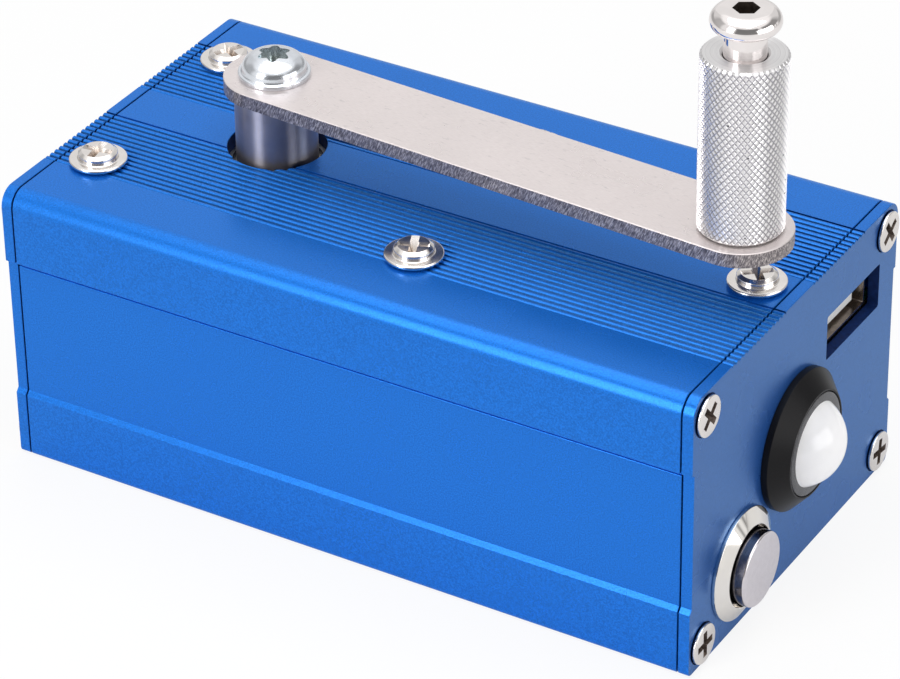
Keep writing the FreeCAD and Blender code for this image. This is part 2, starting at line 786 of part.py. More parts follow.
def drive_gear():
    """Gear on the crankshaft; its boss reaches up to the ball bearing's inner ring."""
    pitch_r = DRIVE_MODULE * DRIVE_TEETH / 2
    boss_r = SHAFT_R + RACE_WALL - RUNNING
    wheel = gear(DRIVE_TEETH, DRIVE_MODULE, -PINION_SHIFT, DRIVE_TURN, DRIVE_GEAR_Z, DRIVE_GEAR_TOP)
    wheel = wheel.fuse(rod(boss_r, DRIVE_GEAR_TOP, BEARING_Z))
    for i in range(WEB_HOLE_COUNT):
        spot = step_from((0, 0), WEB_HOLE_RING * pitch_r, 360 * i / WEB_HOLE_COUNT)
        wheel = wheel.cut(rod(WEB_HOLE_R * pitch_r, DRIVE_GEAR_Z, DRIVE_GEAR_TOP, spot))
    wheel = wheel.cut(rod(SHAFT_R, DRIVE_GEAR_Z, BEARING_Z))
    return moved(wheel, CRANK_AXIS[0], CRANK_AXIS[1], 0)


def first_idler_gear():
    """Compound gear: its pinion meets the drive gear, its wheel the second idler's pinion."""
    wheel = gear(IDLER_TEETH, FIRST_MODULE, -PINION_SHIFT, 0.0, FIRST_GEAR_Z, FIRST_GEAR_TOP)
    pinion = pinion_gear(DRIVE_MODULE, FIRST_PINION_TURN, FIRST_GEAR_TOP, DRIVE_GEAR_TOP)
    boss_r = FIRST_PIN_R + IDLER_BOSS_WALL
    lower = rod(boss_r, PILLAR_Z + AXIAL_PLAY, FIRST_GEAR_Z)
    upper = rod(boss_r, DRIVE_GEAR_TOP, UPPER_PLATE_Z - AXIAL_PLAY)
    whole = wheel.multiFuse([pinion, lower, upper])
    whole = whole.cut(rod(FIRST_PIN_R + RUNNING, PILLAR_Z, UPPER_PLATE_Z))
    return moved(whole, FIRST_AXIS[0], FIRST_AXIS[1], 0)


def second_idler_gear():
    """Compound gear on the stub pin: its wheel drives the rotor's pinion."""
    wheel = gear(IDLER_TEETH, SECOND_MODULE, -PINION_SHIFT, 0.0, SECOND_GEAR_Z, SECOND_GEAR_TOP)
    pinion = pinion_gear(FIRST_MODULE, SECOND_PINION_TURN, SECOND_GEAR_TOP, FIRST_GEAR_TOP)
    lower = rod(SECOND_PIN_R + IDLER_BOSS_WALL, PILLAR_Z + AXIAL_PLAY, SECOND_GEAR_Z)
    whole = wheel.multiFuse([pinion, lower])
    whole = whole.cut(rod(SECOND_PIN_R + RUNNING, PILLAR_Z, FIRST_GEAR_TOP))
    return moved(whole, SECOND_AXIS[0], SECOND_AXIS[1], 0)


def rotor_pinion():
    """Pinion pressed on the rotor's shaft."""
    pinion = pinion_gear(SECOND_MODULE, ROTOR_PINION_TURN, ROTOR_PINION_Z, ROTOR_PINION_TOP)
    pinion = pinion.cut(rod(ROTOR_SHAFT_R, ROTOR_PINION_Z, ROTOR_PINION_TOP))
    return moved(pinion, ROTOR_AXIS[0], ROTOR_AXIS[1], 0)


# ======================================================================
# Case
# ======================================================================

def half_section(x):
    """Face of the case's outline, from the middle to the +Y side."""
    low = BOTTOM_CORNER_R * ARC_MIDDLE_INSET
    high = TOP_CORNER_R * ARC_MIDDLE_INSET
    valley = CASE_H - RIB_DEPTH
    band = RIB_COUNT * RIB_PITCH / 2
    steps = [
        V(x, HALF_W - BOTTOM_CORNER_R, 0),
        (V(x, HALF_W - low, low), V(x, HALF_W, BOTTOM_CORNER_R)),
        V(x, HALF_W, LOWER_BAND_H - LOWER_BAND_CHAMFER),
        V(x, HALF_W - SIDE_RECESS, LOWER_BAND_H),
        V(x, HALF_W - SIDE_RECESS, SPLIT_Z),
        V(x, HALF_W, SPLIT_Z),
        V(x, HALF_W, CASE_H - TOP_CORNER_R),
        (V(x, HALF_W - high, CASE_H - high), V(x, HALF_W - TOP_CORNER_R, CASE_H)),
        V(x, RIB_BAND_Y + band, CASE_H),
        V(x, RIB_BAND_Y + band, valley),
    ]
    for i in range(RIB_COUNT):
        middle = RIB_BAND_Y + band - (i + 0.5) * RIB_PITCH
        steps.append(V(x, middle + RIB_WIDTH / 2, valley))
        steps.append((V(x, middle, CASE_H), V(x, middle - RIB_WIDTH / 2, valley)))
    steps.append(V(x, RIB_BAND_Y - band, valley))
    steps.append(V(x, RIB_BAND_Y - band, CASE_H))
    steps.append(V(x, 0, CASE_H))
    return Part.Face(closed_wire(V(x, 0, 0), steps))


def case_bar(x0, x1):
    """Solid bar with the case's whole outline."""
    half = half_section(x0).extrude(V(x1 - x0, 0, 0))
    other = half.mirror(ORIGIN, Y_AXIS)
    return half.fuse(other).removeSplitter()


def corner_bosses(x0, x1):
    """The four screw channels in the corners of the case, as solid bars."""
    y = HALF_W - END_SCREW_INSET
    bosses = []
    for side in (-1, 1):
        for z, wall_z in ((END_SCREW_INSET, FLOOR_Z), (CASE_H - END_SCREW_INSET, CEILING_Z)):
            up = 1 if wall_z > z else -1
            outer = (side * y, side * INNER_Y)
            inner = (side * (y - BOSS_R), side * INNER_Y)
            flat = (z, wall_z)
            tall = (z - up * BOSS_R, wall_z)
            bosses.append(block(x0, x1, min(outer), max(outer), min(tall), max(tall)))
            bosses.append(block(x0, x1, min(inner), max(inner), min(flat), max(flat)))
            bosses.append(rod_x(BOSS_R, x0, x1, side * y, z))
    return bosses


def end_screw_spots():
    """Centres of the end plate screws, as (y, z)."""
    y = HALF_W - END_SCREW_INSET
    return [(sy, z) for sy in (-y, y) for z in (END_SCREW_INSET, CASE_H - END_SCREW_INSET)]


def shell_blank(z0, z1):
    """Hollow length of the case between two heights, with its screw channels."""
    bar = case_bar(SHELL_X0, SHELL_X1)
    hollow = block(SHELL_X0, SHELL_X1, -INNER_Y, INNER_Y, FLOOR_Z, CEILING_Z)
    hollow = hollow.cut(Part.makeCompound(corner_bosses(SHELL_X0, SHELL_X1)))
    shell = bar.cut(hollow)
    shell = shell.common(block(SHELL_X0, SHELL_X1, -HALF_W, HALF_W, z0, z1))
    for y, z in end_screw_spots():
        if z0 < z < z1:
            shell = shell.cut(rod_x(M3_R, SHELL_X0, SHELL_X1, y, z))
    return shell


def upper_shell():
    """Top of the case: ribbed roof, side flanks and an inner lip that locates it."""
    shell = shell_blank(SPLIT_Z, CASE_H)
    lip_y = INNER_Y - LIP_CLEARANCE
    for side in (-1, 1):
        lip = (side * (lip_y - LIP_T), side * lip_y)
        web = (side * (lip_y - LIP_T), side * INNER_Y)
        shell = shell.fuse(block(SHELL_X0, SHELL_X1, min(lip), max(lip), SPLIT_Z - LIP_DROP, SPLIT_Z))
        shell = shell.fuse(block(SHELL_X0, SHELL_X1, min(web), max(web), SPLIT_Z, SPLIT_Z + LIP_T))
    shell = shell.cut(rod(CRANK_HOLE_R, CEILING_Z, CASE_H, CRANK_AXIS))
    for x, y in top_screw_spots():
        shell = shell.cut(rod(M3_CLEARANCE_R, CEILING_Z, CASE_H, (x, y)))
    return shell.removeSplitter()


def lower_shell():
    """Bottom of the case: floor, sides and the guides that hold the circuit board."""
    shell = shell_blank(0, SPLIT_Z)
    below = BOARD_Z - GUIDE_CLEARANCE
    above = BOARD_TOP + GUIDE_CLEARANCE
    for side in (-1, 1):
        reach = (side * (INNER_Y - GUIDE_REACH), side * INNER_Y)
        for z0, z1 in ((below - GUIDE_T, below), (above, above + GUIDE_T)):
            shell = shell.fuse(block(SHELL_X0, SHELL_X1, min(reach), max(reach), z0, z1))
    return shell.removeSplitter()


def left_end_plate():
    """Plain end plate with its four countersunk holes."""
    plate = case_bar(-RIGHT_FACE, LEFT_INNER)
    for y, z in end_screw_spots():
        plate = plate.cut(facing_x(end_plate_countersink(), -RIGHT_FACE, y, z, -1))
    return plate


def right_end_plate():
    """End plate with the openings for the socket, the lamp and the button."""
    plate = case_bar(RIGHT_INNER, RIGHT_FACE)
    for y, z in end_screw_spots():
        plate = plate.cut(facing_x(end_plate_countersink(), RIGHT_FACE, y, z))
    window = block(
        RIGHT_INNER, RIGHT_FACE,
        USB_Y - USB_HOLE_W / 2, USB_Y + USB_HOLE_W / 2,
        USB_Z - USB_HOLE_H / 2, USB_Z + USB_HOLE_H / 2,
    )
    plate = plate.cut(window.makeFillet(USB_HOLE_CORNER, edges_along(window, X_AXIS)))
    plate = plate.cut(rod_x(LAMP_BARREL_R + PANEL_FIT, RIGHT_INNER, RIGHT_FACE, LAMP_Y, LAMP_Z))
    return plate.cut(rod_x(BUTTON_BARREL_R + PANEL_FIT, RIGHT_INNER, RIGHT_FACE, BUTTON_Y, BUTTON_Z))


def end_plate_screws():
    """The eight screws of the two end plates."""
    screw = end_plate_screw()
    solids = []
    for y, z in end_screw_spots():
        solids.append(facing_x(screw, RIGHT_FACE, y, z))
        solids.append(facing_x(screw, -RIGHT_FACE, y, z, -1))
    return Part.makeCompound(solids)


def top_screw_spots():
    """Centres of the washer-head screws: four into the pillars, one into the end bracket."""
    return PILLARS + [(BRACKET_SCREW_X, 0.0)]


def top_flange_screws():
    """The washer-head screws in the roof."""
    screw = top_screw()
    return Part.makeCompound([moved(screw, x, y, CASE_H) for x, y in top_screw_spots()])


def end_bracket():
    """Angle bracket: the lamp's nut clamps its leg, and the fifth top screw holds its foot."""
    half = BRACKET_W / 2
    leg = block(BRACKET_X0, RIGHT_INNER, LAMP_Y - half, LAMP_Y + half, LAMP_Z, CEILING_Z)
    eye = rod_x(half, BRACKET_X0, RIGHT_INNER, LAMP_Y, LAMP_Z)
    foot = block(
        RIGHT_INNER - BRACKET_FOOT, RIGHT_INNER,
        LAMP_Y - half, LAMP_Y + half,
        CEILING_Z - BRACKET_T, CEILING_Z,
    )
    bracket = leg.multiFuse([eye, foot])
    bracket = bracket.cut(rod_x(LAMP_BARREL_R + PANEL_FIT, BRACKET_X0, RIGHT_INNER, LAMP_Y, LAMP_Z))
    return bracket.cut(rod(M3_R, CEILING_Z - BRACKET_T, CEILING_Z, (BRACKET_SCREW_X, 0.0))).removeSplitter()


# ======================================================================
# Gearbox frame
# ======================================================================

def gearbox_plate(z0, z1):
    """Blank of a gearbox plate."""
    half = GEARBOX_WIDTH / 2
    return rounded_plate(GEARBOX_X0, GEARBOX_X1, -half, half, z0, z1, PLATE_CORNER_R)


def upper_gear_plate():
    """Plate under the roof: it seats the ball bearing and the first idler's pin."""
    plate = gearbox_plate(UPPER_PLATE_Z, CEILING_Z)
    plate = plate.cut(rod(BEARING_R, BEARING_Z, CEILING_Z, CRANK_AXIS))
    plate = plate.cut(rod(BEARING_LIP_R, UPPER_PLATE_Z, BEARING_Z, CRANK_AXIS))
    plate = plate.cut(rod(FIRST_PIN_R, UPPER_PLATE_Z, CEILING_Z - PIN_END_GAP, FIRST_AXIS))
    for spot in PILLARS:
        plate = plate.cut(rod(M3_CLEARANCE_R, UPPER_PLATE_Z, CEILING_Z, spot))
    return plate


def mount_screw_spots():
    """Centres of the screws that hold the generator up to the lower plate."""
    return [(ROTOR_AXIS[0] + side * MOUNT_SCREW_R, ROTOR_AXIS[1]) for side in (-1, 1)]


def lower_gear_plate():
    """Plate between the gears and the generator."""
    plate = gearbox_plate(LOWER_PLATE_Z, PILLAR_Z)
    plate = plate.cut(rod(BUSH_R, LOWER_PLATE_Z + BUSH_LIFT, PILLAR_Z, CRANK_AXIS))
    plate = plate.cut(rod(SHAFT_R, LOWER_PLATE_Z, LOWER_PLATE_Z + BUSH_LIFT, CRANK_AXIS))
    plate = plate.cut(rod(FIRST_PIN_R, LOWER_PLATE_Z + PIN_END_GAP, PILLAR_Z, FIRST_AXIS))
    plate = plate.cut(rod(SECOND_PIN_R, LOWER_PLATE_Z + PIN_END_GAP, PILLAR_Z, SECOND_AXIS))
    plate = plate.cut(rod(CAN_BOSS_R + PANEL_FIT, LOWER_PLATE_Z, PILLAR_Z, ROTOR_AXIS))
    for spot in PILLARS:
        plate = plate.cut(rod(M3_CLEARANCE_R, LOWER_PLATE_Z, PILLAR_Z, spot))
    for spot in mount_screw_spots():
        plate = plate.cut(moved(mount_screw_room(), spot[0], spot[1], PILLAR_Z))
    return plate


def mount_screw_room():
    """Countersunk hole for a generator screw, drawn down from the plate's top."""
    return lathe([
        (0, -LOWER_PLATE_T),
        (M25_R, -LOWER_PLATE_T),
        (M25_R, M25_R - MOUNT_HEAD_R),
        (MOUNT_HEAD_R, 0),
        (0, 0),
    ])


def generator_screws():
    """Two countersunk screws, flush in the lower plate, into the generator's can."""
    length = LOWER_PLATE_T + CAN_TOP_T
    screw = lathe([
        (0, -length),
        (M25_R, -length),
        (M25_R, M25_R - MOUNT_HEAD_R),
        (MOUNT_HEAD_R, 0),
        (0, 0),
    ])
    screw = screw.cut(cross_recess(MOUNT_HEAD_R, 0))
    return Part.makeCompound([moved(screw, x, y, PILLAR_Z) for x, y in mount_screw_spots()])


def gearbox_pillars():
    """Four pillars between the plates, tapped at both ends."""
    top_hole = TOP_SCREW_LENGTH - TOP_WALL - UPPER_PLATE_T + TAP_SPARE
    solids = []
    for spot in PILLARS:
        pillar = rod(PILLAR_R, PILLAR_Z, UPPER_PLATE_Z, spot)
        pillar = pillar.cut(rod(M3_R, UPPER_PLATE_Z - top_hole, UPPER_PLATE_Z, spot))
        pillar = pillar.cut(rod(M3_R, PILLAR_Z, PILLAR_Z + PILLAR_SCREW_GRIP + TAP_SPARE, spot))
        solids.append(pillar)
    return Part.makeCompound(solids)


def pillar_screws():
    """Pan-head screws that hold the lower plate to the pillars, from below."""
    screw = pan_screw(PILLAR_SCREW_HEAD_R, PILLAR_SCREW_HEAD_H, M3_R, LOWER_PLATE_T + PILLAR_SCREW_GRIP)
    screw.rotate(ORIGIN, X_AXIS, 180)
    return Part.makeCompound([moved(screw, x, y, LOWER_PLATE_Z) for x, y in PILLARS])


def race_groove():
    """Ring-shaped room for the balls of the bearing."""
    middle = BEARING_Z + BEARING_H / 2
    groove = Part.makeTorus(BALL_RING_R, BALL_R + BALL_CLEARANCE)
    return moved(groove, CRANK_AXIS[0], CRANK_AXIS[1], middle)


def upper_bearing_outer():
    """Outer ring of the crankshaft's ball bearing."""
    ring = tube(BEARING_R, BEARING_R - RACE_WALL, BEARING_Z, CEILING_Z, CRANK_AXIS)
    return ring.cut(race_groove())


def upper_bearing_inner():
    """Inner ring of the crankshaft's ball bearing."""
    ring = tube(SHAFT_R + RACE_WALL, SHAFT_R, BEARING_Z, CEILING_Z, CRANK_AXIS)
    return ring.cut(race_groove())


def upper_bearing_balls():
    """Balls of the crankshaft's bearing."""
    middle = BEARING_Z + BEARING_H / 2
    balls = []
    for i in range(BALL_COUNT):
        x, y = step_from(CRANK_AXIS, BALL_RING_R, 360 * i / BALL_COUNT)
        balls.append(Part.makeSphere(BALL_R, V(x, y, middle)))
    return Part.makeCompound(balls)


def lower_bush():
    """Plain bush for the crankshaft's foot."""
    return tube(BUSH_R, SHAFT_R + RUNNING, LOWER_PLATE_Z + BUSH_LIFT, PILLAR_Z, CRANK_AXIS)


def first_idler_pin():
    """Fixed pin from plate to plate."""
    return rod(FIRST_PIN_R, LOWER_PLATE_Z + PIN_END_GAP, CEILING_Z - PIN_END_GAP, FIRST_AXIS)


def clip_ring(groove_r, z, at):
    """Open retaining ring in a shaft's groove."""
    ring = tube(groove_r + CLIP_WIDTH, groove_r, z, z + CLIP_T)
    half = CLIP_GAP * groove_r
    gap = block(0, groove_r + CLIP_WIDTH, -half, half, z, z + CLIP_T)
    return moved(ring.cut(gap), at[0], at[1], 0)


def clip_groove(shaft_r, z, at):
    """Ring-shaped room that a clip needs in its shaft."""
    return tube(shaft_r, shaft_r - CLIP_GROOVE, z, z + CLIP_T, at)


def second_idler_pin():
    """Stub pin, grooved for its clip."""
    top = SECOND_CLIP_Z + CLIP_T + PIN_TIP
    pin = rod(SECOND_PIN_R, LOWER_PLATE_Z + PIN_END_GAP, top, SECOND_AXIS)
    return pin.cut(clip_groove(SECOND_PIN_R, SECOND_CLIP_Z, SECOND_AXIS))


def idler_clip():
    """Clip that keeps the second idler on its stub pin."""
    return clip_ring(SECOND_PIN_R - CLIP_GROOVE, SECOND_CLIP_Z, SECOND_AXIS)


# ======================================================================
# Crank
# ======================================================================

def shaft_body(radius, flat, z0, z1):
    """Shaft with a flat along one side."""
    keep = block(-radius, radius - flat, -radius, radius, z0, z1)
    return rod(radius, z0, z1).common(keep)


def crank_shaft():
    """Crankshaft: round in its bearings, with a flat inside the hub and a groove for its clip."""
    shaft = rod(SHAFT_R, LOWER_PLATE_Z + SHAFT_TAIL_GAP, HUB_Z)
    shaft = at_crank(shaft.fuse(shaft_body(SHAFT_R, SHAFT_FLAT, HUB_Z, SHAFT_TOP)))
    return shaft.cut(clip_groove(SHAFT_R, SHAFT_CLIP_Z, CRANK_AXIS))


def shaft_clip():
    """Clip under the drive gear."""
    return clip_ring(SHAFT_R - CLIP_GROOVE, SHAFT_CLIP_Z, CRANK_AXIS)


def at_crank(shape):
    """Crank part drawn along +X, turned to the arm's direction and moved to the crank's axis."""
    copy = shape.copy()
    copy.rotate(ORIGIN, Z_AXIS, ARM_ANGLE_DEG)
    return moved(copy, CRANK_AXIS[0], CRANK_AXIS[1], 0)


def hub_boss(z0, z1):
    """Two-flatted boss that carries the arm round."""
    half = HUB_BOSS_FLATS / 2
    return rod(HUB_BOSS_R, z0, z1).common(block(-HUB_BOSS_R, HUB_BOSS_R, -half, half, z0, z1))


def crank_hub():
    """Steel hub between the crankshaft and the arm."""
    body = lathe([
        (0, CEILING_Z),
        (SHAFT_R + RACE_WALL, CEILING_Z),
        (SHAFT_R + RACE_WALL, HUB_Z),
        (HUB_R - EDGE_BREAK, HUB_Z),
        (HUB_R, HUB_Z + EDGE_BREAK),
        (HUB_R, ARM_Z),
        (0, ARM_Z),
    ])
    boss_top = ARM_TOP - HUB_BOSS_SHORT
    body = body.fuse(hub_boss(ARM_Z, boss_top))
    body = body.cut(rod(SHAFT_R, CEILING_Z, HUB_Z))
    body = body.cut(shaft_body(SHAFT_R, SHAFT_FLAT, HUB_Z, SHAFT_TOP))
    body = body.cut(rod(M5_R, ARM_TOP - CRANK_SCREW_LENGTH - HUB_BOSS_SHORT, boss_top))
    return at_crank(body)


def crank_arm():
    """Flat steel bar with round ends."""
    half = ARM_WIDTH / 2
    outline = closed_wire(V(0, half, ARM_Z), [
        (V(-half, 0, ARM_Z), V(0, -half, ARM_Z)),
        V(ARM_REACH, -half, ARM_Z),
        (V(ARM_REACH + half, 0, ARM_Z), V(ARM_REACH, half, ARM_Z)),
    ])
    bar = Part.Face(outline).extrude(V(0, 0, ARM_T))
    rim = [e for e in bar.Edges if e.BoundBox.ZMin > ARM_TOP - ARM_BEVEL]
    bar = bar.makeChamfer(ARM_BEVEL, rim)
    bar = bar.cut(hub_boss(ARM_Z, ARM_TOP))
    bar = bar.cut(rod(M4_R, ARM_Z, ARM_TOP, (ARM_REACH, 0)))
    return at_crank(bar)


def crank_screw():
    """Pan-head screw with a rim and a six-lobe recess."""
    shoulder = (CRANK_DOME_SHOULDER_R * CRANK_SCREW_DOME_R, CRANK_DOME_SHOULDER_H * CRANK_SCREW_H)
    head = lathe([
        (0, 0),
        (CRANK_SCREW_R, 0),
        (CRANK_SCREW_R, CRANK_SCREW_RIM - EDGE_BREAK),
        (CRANK_SCREW_R - EDGE_BREAK, CRANK_SCREW_RIM),
        (CRANK_SCREW_DOME_R, CRANK_SCREW_RIM + SCREW_EDGE),
        (shoulder, (CRANK_DOME_FLAT_R * CRANK_SCREW_DOME_R, CRANK_SCREW_H)),
        (0, CRANK_SCREW_H),
    ])
    screw = head.fuse(rod(M5_R, -CRANK_SCREW_LENGTH, 0))
    recess = [rod(LOBE_RING_R, CRANK_SCREW_H - LOBE_DEPTH, CRANK_SCREW_H)]
    for i in range(LOBE_COUNT):
        spot = step_from((0, 0), LOBE_RING_R, 360 * (i + 0.5) / LOBE_COUNT)
        recess.append(rod(LOBE_R, CRANK_SCREW_H - LOBE_DEPTH, CRANK_SCREW_H, spot))
    screw = screw.cut(recess[0].multiFuse(recess[1:]))
    return moved(screw, CRANK_AXIS[0], CRANK_AXIS[1], ARM_TOP)


def handle_bolt():
    """Shoulder bolt: threaded into the arm, with a neck for the sleeve and a round socket head."""
    top = BOLT_HEAD_Z + BOLT_HEAD_H
    under = BOLT_HEAD_R - BOLT_HEAD_UNDER_R
    over = BOLT_HEAD_R - BOLT_HEAD_FLAT_R
    under_in, under_middle, under_end = (share * under for share in BOLT_UNDER_SHARES)
    over_in, over_down = (share * over for share in BOLT_OVER_SHARES)
    bolt = lathe([
        (0, ARM_Z),
        (M4_R, ARM_Z),
        (M4_R, ARM_TOP),
        (NECK_R, ARM_TOP),
        (NECK_R, BOLT_HEAD_Z),
        (BOLT_HEAD_UNDER_R, BOLT_HEAD_Z),
        ((BOLT_HEAD_R - under_in, BOLT_HEAD_Z + under_middle), (BOLT_HEAD_R, BOLT_HEAD_Z + under_end)),
        (BOLT_HEAD_R, BOLT_HEAD_Z + BOLT_HEAD_H / 2),
        ((BOLT_HEAD_R - over_in, top - over_down), (BOLT_HEAD_FLAT_R, top)),
        (0, top),
    ])
    socket = prism(polygon_points(HEX_SIDES, BOLT_SOCKET_FLATS), BOLT_SOCKET_DEPTH, top - BOLT_SOCKET_DEPTH)
    return moved(bolt.cut(socket), HANDLE_AXIS[0], HANDLE_AXIS[1], 0)


def handle_sleeve():
    """Sleeve that turns freely on the bolt's neck."""
    bore_r = NECK_R + SLEEVE_BORE_GAP
    sleeve = lathe([
        (bore_r, SLEEVE_Z),
        (SLEEVE_R - SLEEVE_CHAMFER, SLEEVE_Z),
        (SLEEVE_R, SLEEVE_Z + SLEEVE_CHAMFER),
        (SLEEVE_R, SLEEVE_TOP - SLEEVE_CHAMFER),
        (SLEEVE_R - SLEEVE_CHAMFER, SLEEVE_TOP),
        (bore_r + SLEEVE_MOUTH, SLEEVE_TOP),
        (bore_r, SLEEVE_TOP - SLEEVE_MOUTH),
    ])
    return moved(sleeve, HANDLE_AXIS[0], HANDLE_AXIS[1], 0)


# ======================================================================
# Generator, drawn about its own upright axis
# ======================================================================

def at_rotor(shape):
    """Generator part, moved to the rotor's axis."""
    return moved(shape, ROTOR_AXIS[0], ROTOR_AXIS[1], 0)


def generator_can():
    """Steel can, closed at the top, with a boss that centres it in the lower plate."""
    can = rod(CAN_R, CAN_Z, LOWER_PLATE_Z).cut(rod(MAGNET_R, CAN_Z, CAN_CEILING))
    can = can.fuse(rod(CAN_BOSS_R, LOWER_PLATE_Z, LOWER_PLATE_Z + CAN_BOSS_H))
    can = can.cut(rod(GENERATOR_BUSH_R, CAN_CEILING, LOWER_PLATE_Z + CAN_BOSS_H))
    can = at_rotor(can)
    for spot in mount_screw_spots():
        can = can.cut(rod(M25_R, CAN_CEILING, LOWER_PLATE_Z, spot))
    return can


def generator_magnets():
    """Two arc magnets inside the can."""
    z0, z1 = CAP_TOP + MAGNET_END_GAP, CAN_CEILING - MAGNET_END_GAP
    arcs = [
        sector(MAGNET_R, MAGNET_R - MAGNET_T, z0, z1, middle, MAGNET_SPAN_DEG)
        for middle in (0, 180)
    ]
    return at_rotor(Part.makeCompound(arcs))


def terminal_slot(side, spare):
    """Room for a brush strip's leg through the end cap."""
    half = BRUSH_WIDTH / 2 + spare
    inner = side * (TERMINAL_R - BRUSH_STRIP_T - spare)
    outer = side * (TERMINAL_R + spare)
    return block(-half, half, min(inner, outer), max(inner, outer), TAIL_Z, CAP_TOP)


def generator_end_cap():
    """Moulded cap that closes the can, with a tail boss for the rear bush."""
    cap = rod(MAGNET_R, CAN_Z, CAP_TOP).fuse(rod(ROTOR_HUB_R, TAIL_Z, CAN_Z))
    cap = cap.cut(rod(GENERATOR_BUSH_R, TAIL_Z, CAP_TOP))
    for side in (-1, 1):
        cap = cap.cut(terminal_slot(side, TERMINAL_SLOT_GAP))
    return at_rotor(cap)


def generator_bushes():
    """Front and rear bush of the rotor's shaft."""
    front_top = LOWER_PLATE_Z + CAN_BOSS_H
    front = tube(GENERATOR_BUSH_R, ROTOR_SHAFT_R + RUNNING, front_top - GENERATOR_BUSH_H, front_top)
    rear = tube(GENERATOR_BUSH_R, ROTOR_SHAFT_R + RUNNING, TAIL_Z, TAIL_Z + GENERATOR_BUSH_H)
    return at_rotor(Part.makeCompound([front, rear]))


def generator_brushes():
    """Two carbon brushes on strips whose legs are the generator's terminals."""
    start = COMMUTATOR_R + COMMUTATOR_GAP
    half = BRUSH_WIDTH / 2
    brushes = []
    for side in (-1, 1):
        along = (side * start, side * (start + BRUSH_LENGTH))
        strip = (side * start, side * TERMINAL_R)
        carbon = block(-half, half, min(along), max(along), CAP_TOP + BRUSH_STRIP_T, CAP_TOP + BRUSH_T)
        spring = block(-half, half, min(strip), max(strip), CAP_TOP, CAP_TOP + BRUSH_STRIP_T)
        brushes.append(carbon.multiFuse([spring, terminal_slot(side, 0)]).removeSplitter())
    return at_rotor(Part.makeCompound(brushes))


def rotor_shaft():
    """Rotor shaft, from the rear bush up to the pinion."""
    return at_rotor(rod(ROTOR_SHAFT_R, TAIL_Z, ROTOR_PINION_TOP))


def pole_tooth(half_width, z0, z1, reach):
    """Radial bar of one pole, along +X."""
    return block(0, reach, -half_width, half_width, z0, z1)


def rotor_core():
    """Laminated core: a hub and its poles, each with a shoe."""
    pieces = []
    for i in range(POLE_COUNT):
        angle = 360 * i / POLE_COUNT
        tooth = pole_tooth(POLE_WIDTH / 2, ROTOR_Z, ROTOR_TOP, ROTOR_R - POLE_SHOE_T / 2)
        tooth.rotate(ORIGIN, Z_AXIS, angle)
        pieces.append(tooth)
        pieces.append(sector(ROTOR_R, ROTOR_R - POLE_SHOE_T, ROTOR_Z, ROTOR_TOP, angle, POLE_SHOE_DEG))
    core = rod(ROTOR_HUB_R, ROTOR_Z, ROTOR_TOP).multiFuse(pieces)
    return at_rotor(core.cut(rod(ROTOR_SHAFT_R, ROTOR_Z, ROTOR_TOP)))


def rotor_windings():
    """One copper coil round each pole."""
    coils = []
    inner_r = ROTOR_HUB_R + COIL_GAP
    outer_r = ROTOR_R - POLE_SHOE_T - COIL_SHOE_GAP
    half = POLE_WIDTH / 2
    for i in range(POLE_COUNT):
        coil = block(inner_r, outer_r, -half - COIL_T, half + COIL_T, COIL_Z, ROTOR_TOP + COIL_HEAD)
        coil = coil.makeFillet(COIL_CORNER_R, edges_along(coil, X_AXIS))
        coil = coil.cut(pole_tooth(half, ROTOR_Z, ROTOR_TOP, outer_r))
        coil.rotate(ORIGIN, Z_AXIS, 360 * i / POLE_COUNT)
        coils.append(coil)
    return at_rotor(Part.makeCompound(coils))


def commutator():
    """Segmented commutator under the core."""
    z0, z1 = CAP_TOP + COMMUTATOR_GAP * 2, ROTOR_Z
    ring = tube(COMMUTATOR_R, ROTOR_SHAFT_R, z0, z1)
    for i in range(POLE_COUNT):
        slot = block(
            COMMUTATOR_R - SEGMENT_SLOT_DEPTH, COMMUTATOR_R, -SEGMENT_SLOT / 2, SEGMENT_SLOT / 2, z0, z1,
        )
        slot.rotate(ORIGIN, Z_AXIS, 360 * (i + 0.5) / POLE_COUNT)
        ring = ring.cut(slot)
    return at_rotor(ring)


# ======================================================================
# Lamp
# ======================================================================

def lamp_bezel():
    """Black cone bezel with a threaded barrel through the end plate."""
    well = LAMP_FLANGE_R + PANEL_FIT
    bore = LAMP_BARREL_R - LAMP_BARREL_WALL
    face = LAMP_RIM + LAMP_CONE
    body = lathe([
        (bore, -LAMP_DEPTH),
        (LAMP_BARREL_R, -LAMP_DEPTH),
        (LAMP_BARREL_R, 0),
        (LAMP_BEZEL_R, 0),
        (LAMP_BEZEL_R, LAMP_RIM - EDGE_BREAK),
        (LAMP_BEZEL_R - EDGE_BREAK, LAMP_RIM),
        (LAMP_FRONT_R, face),
        (well, face),
        (well, face - LAMP_FLANGE_T),
        (bore, face - LAMP_FLANGE_T),
    ])
    return facing_x(body, RIGHT_FACE, LAMP_Y, LAMP_Z)


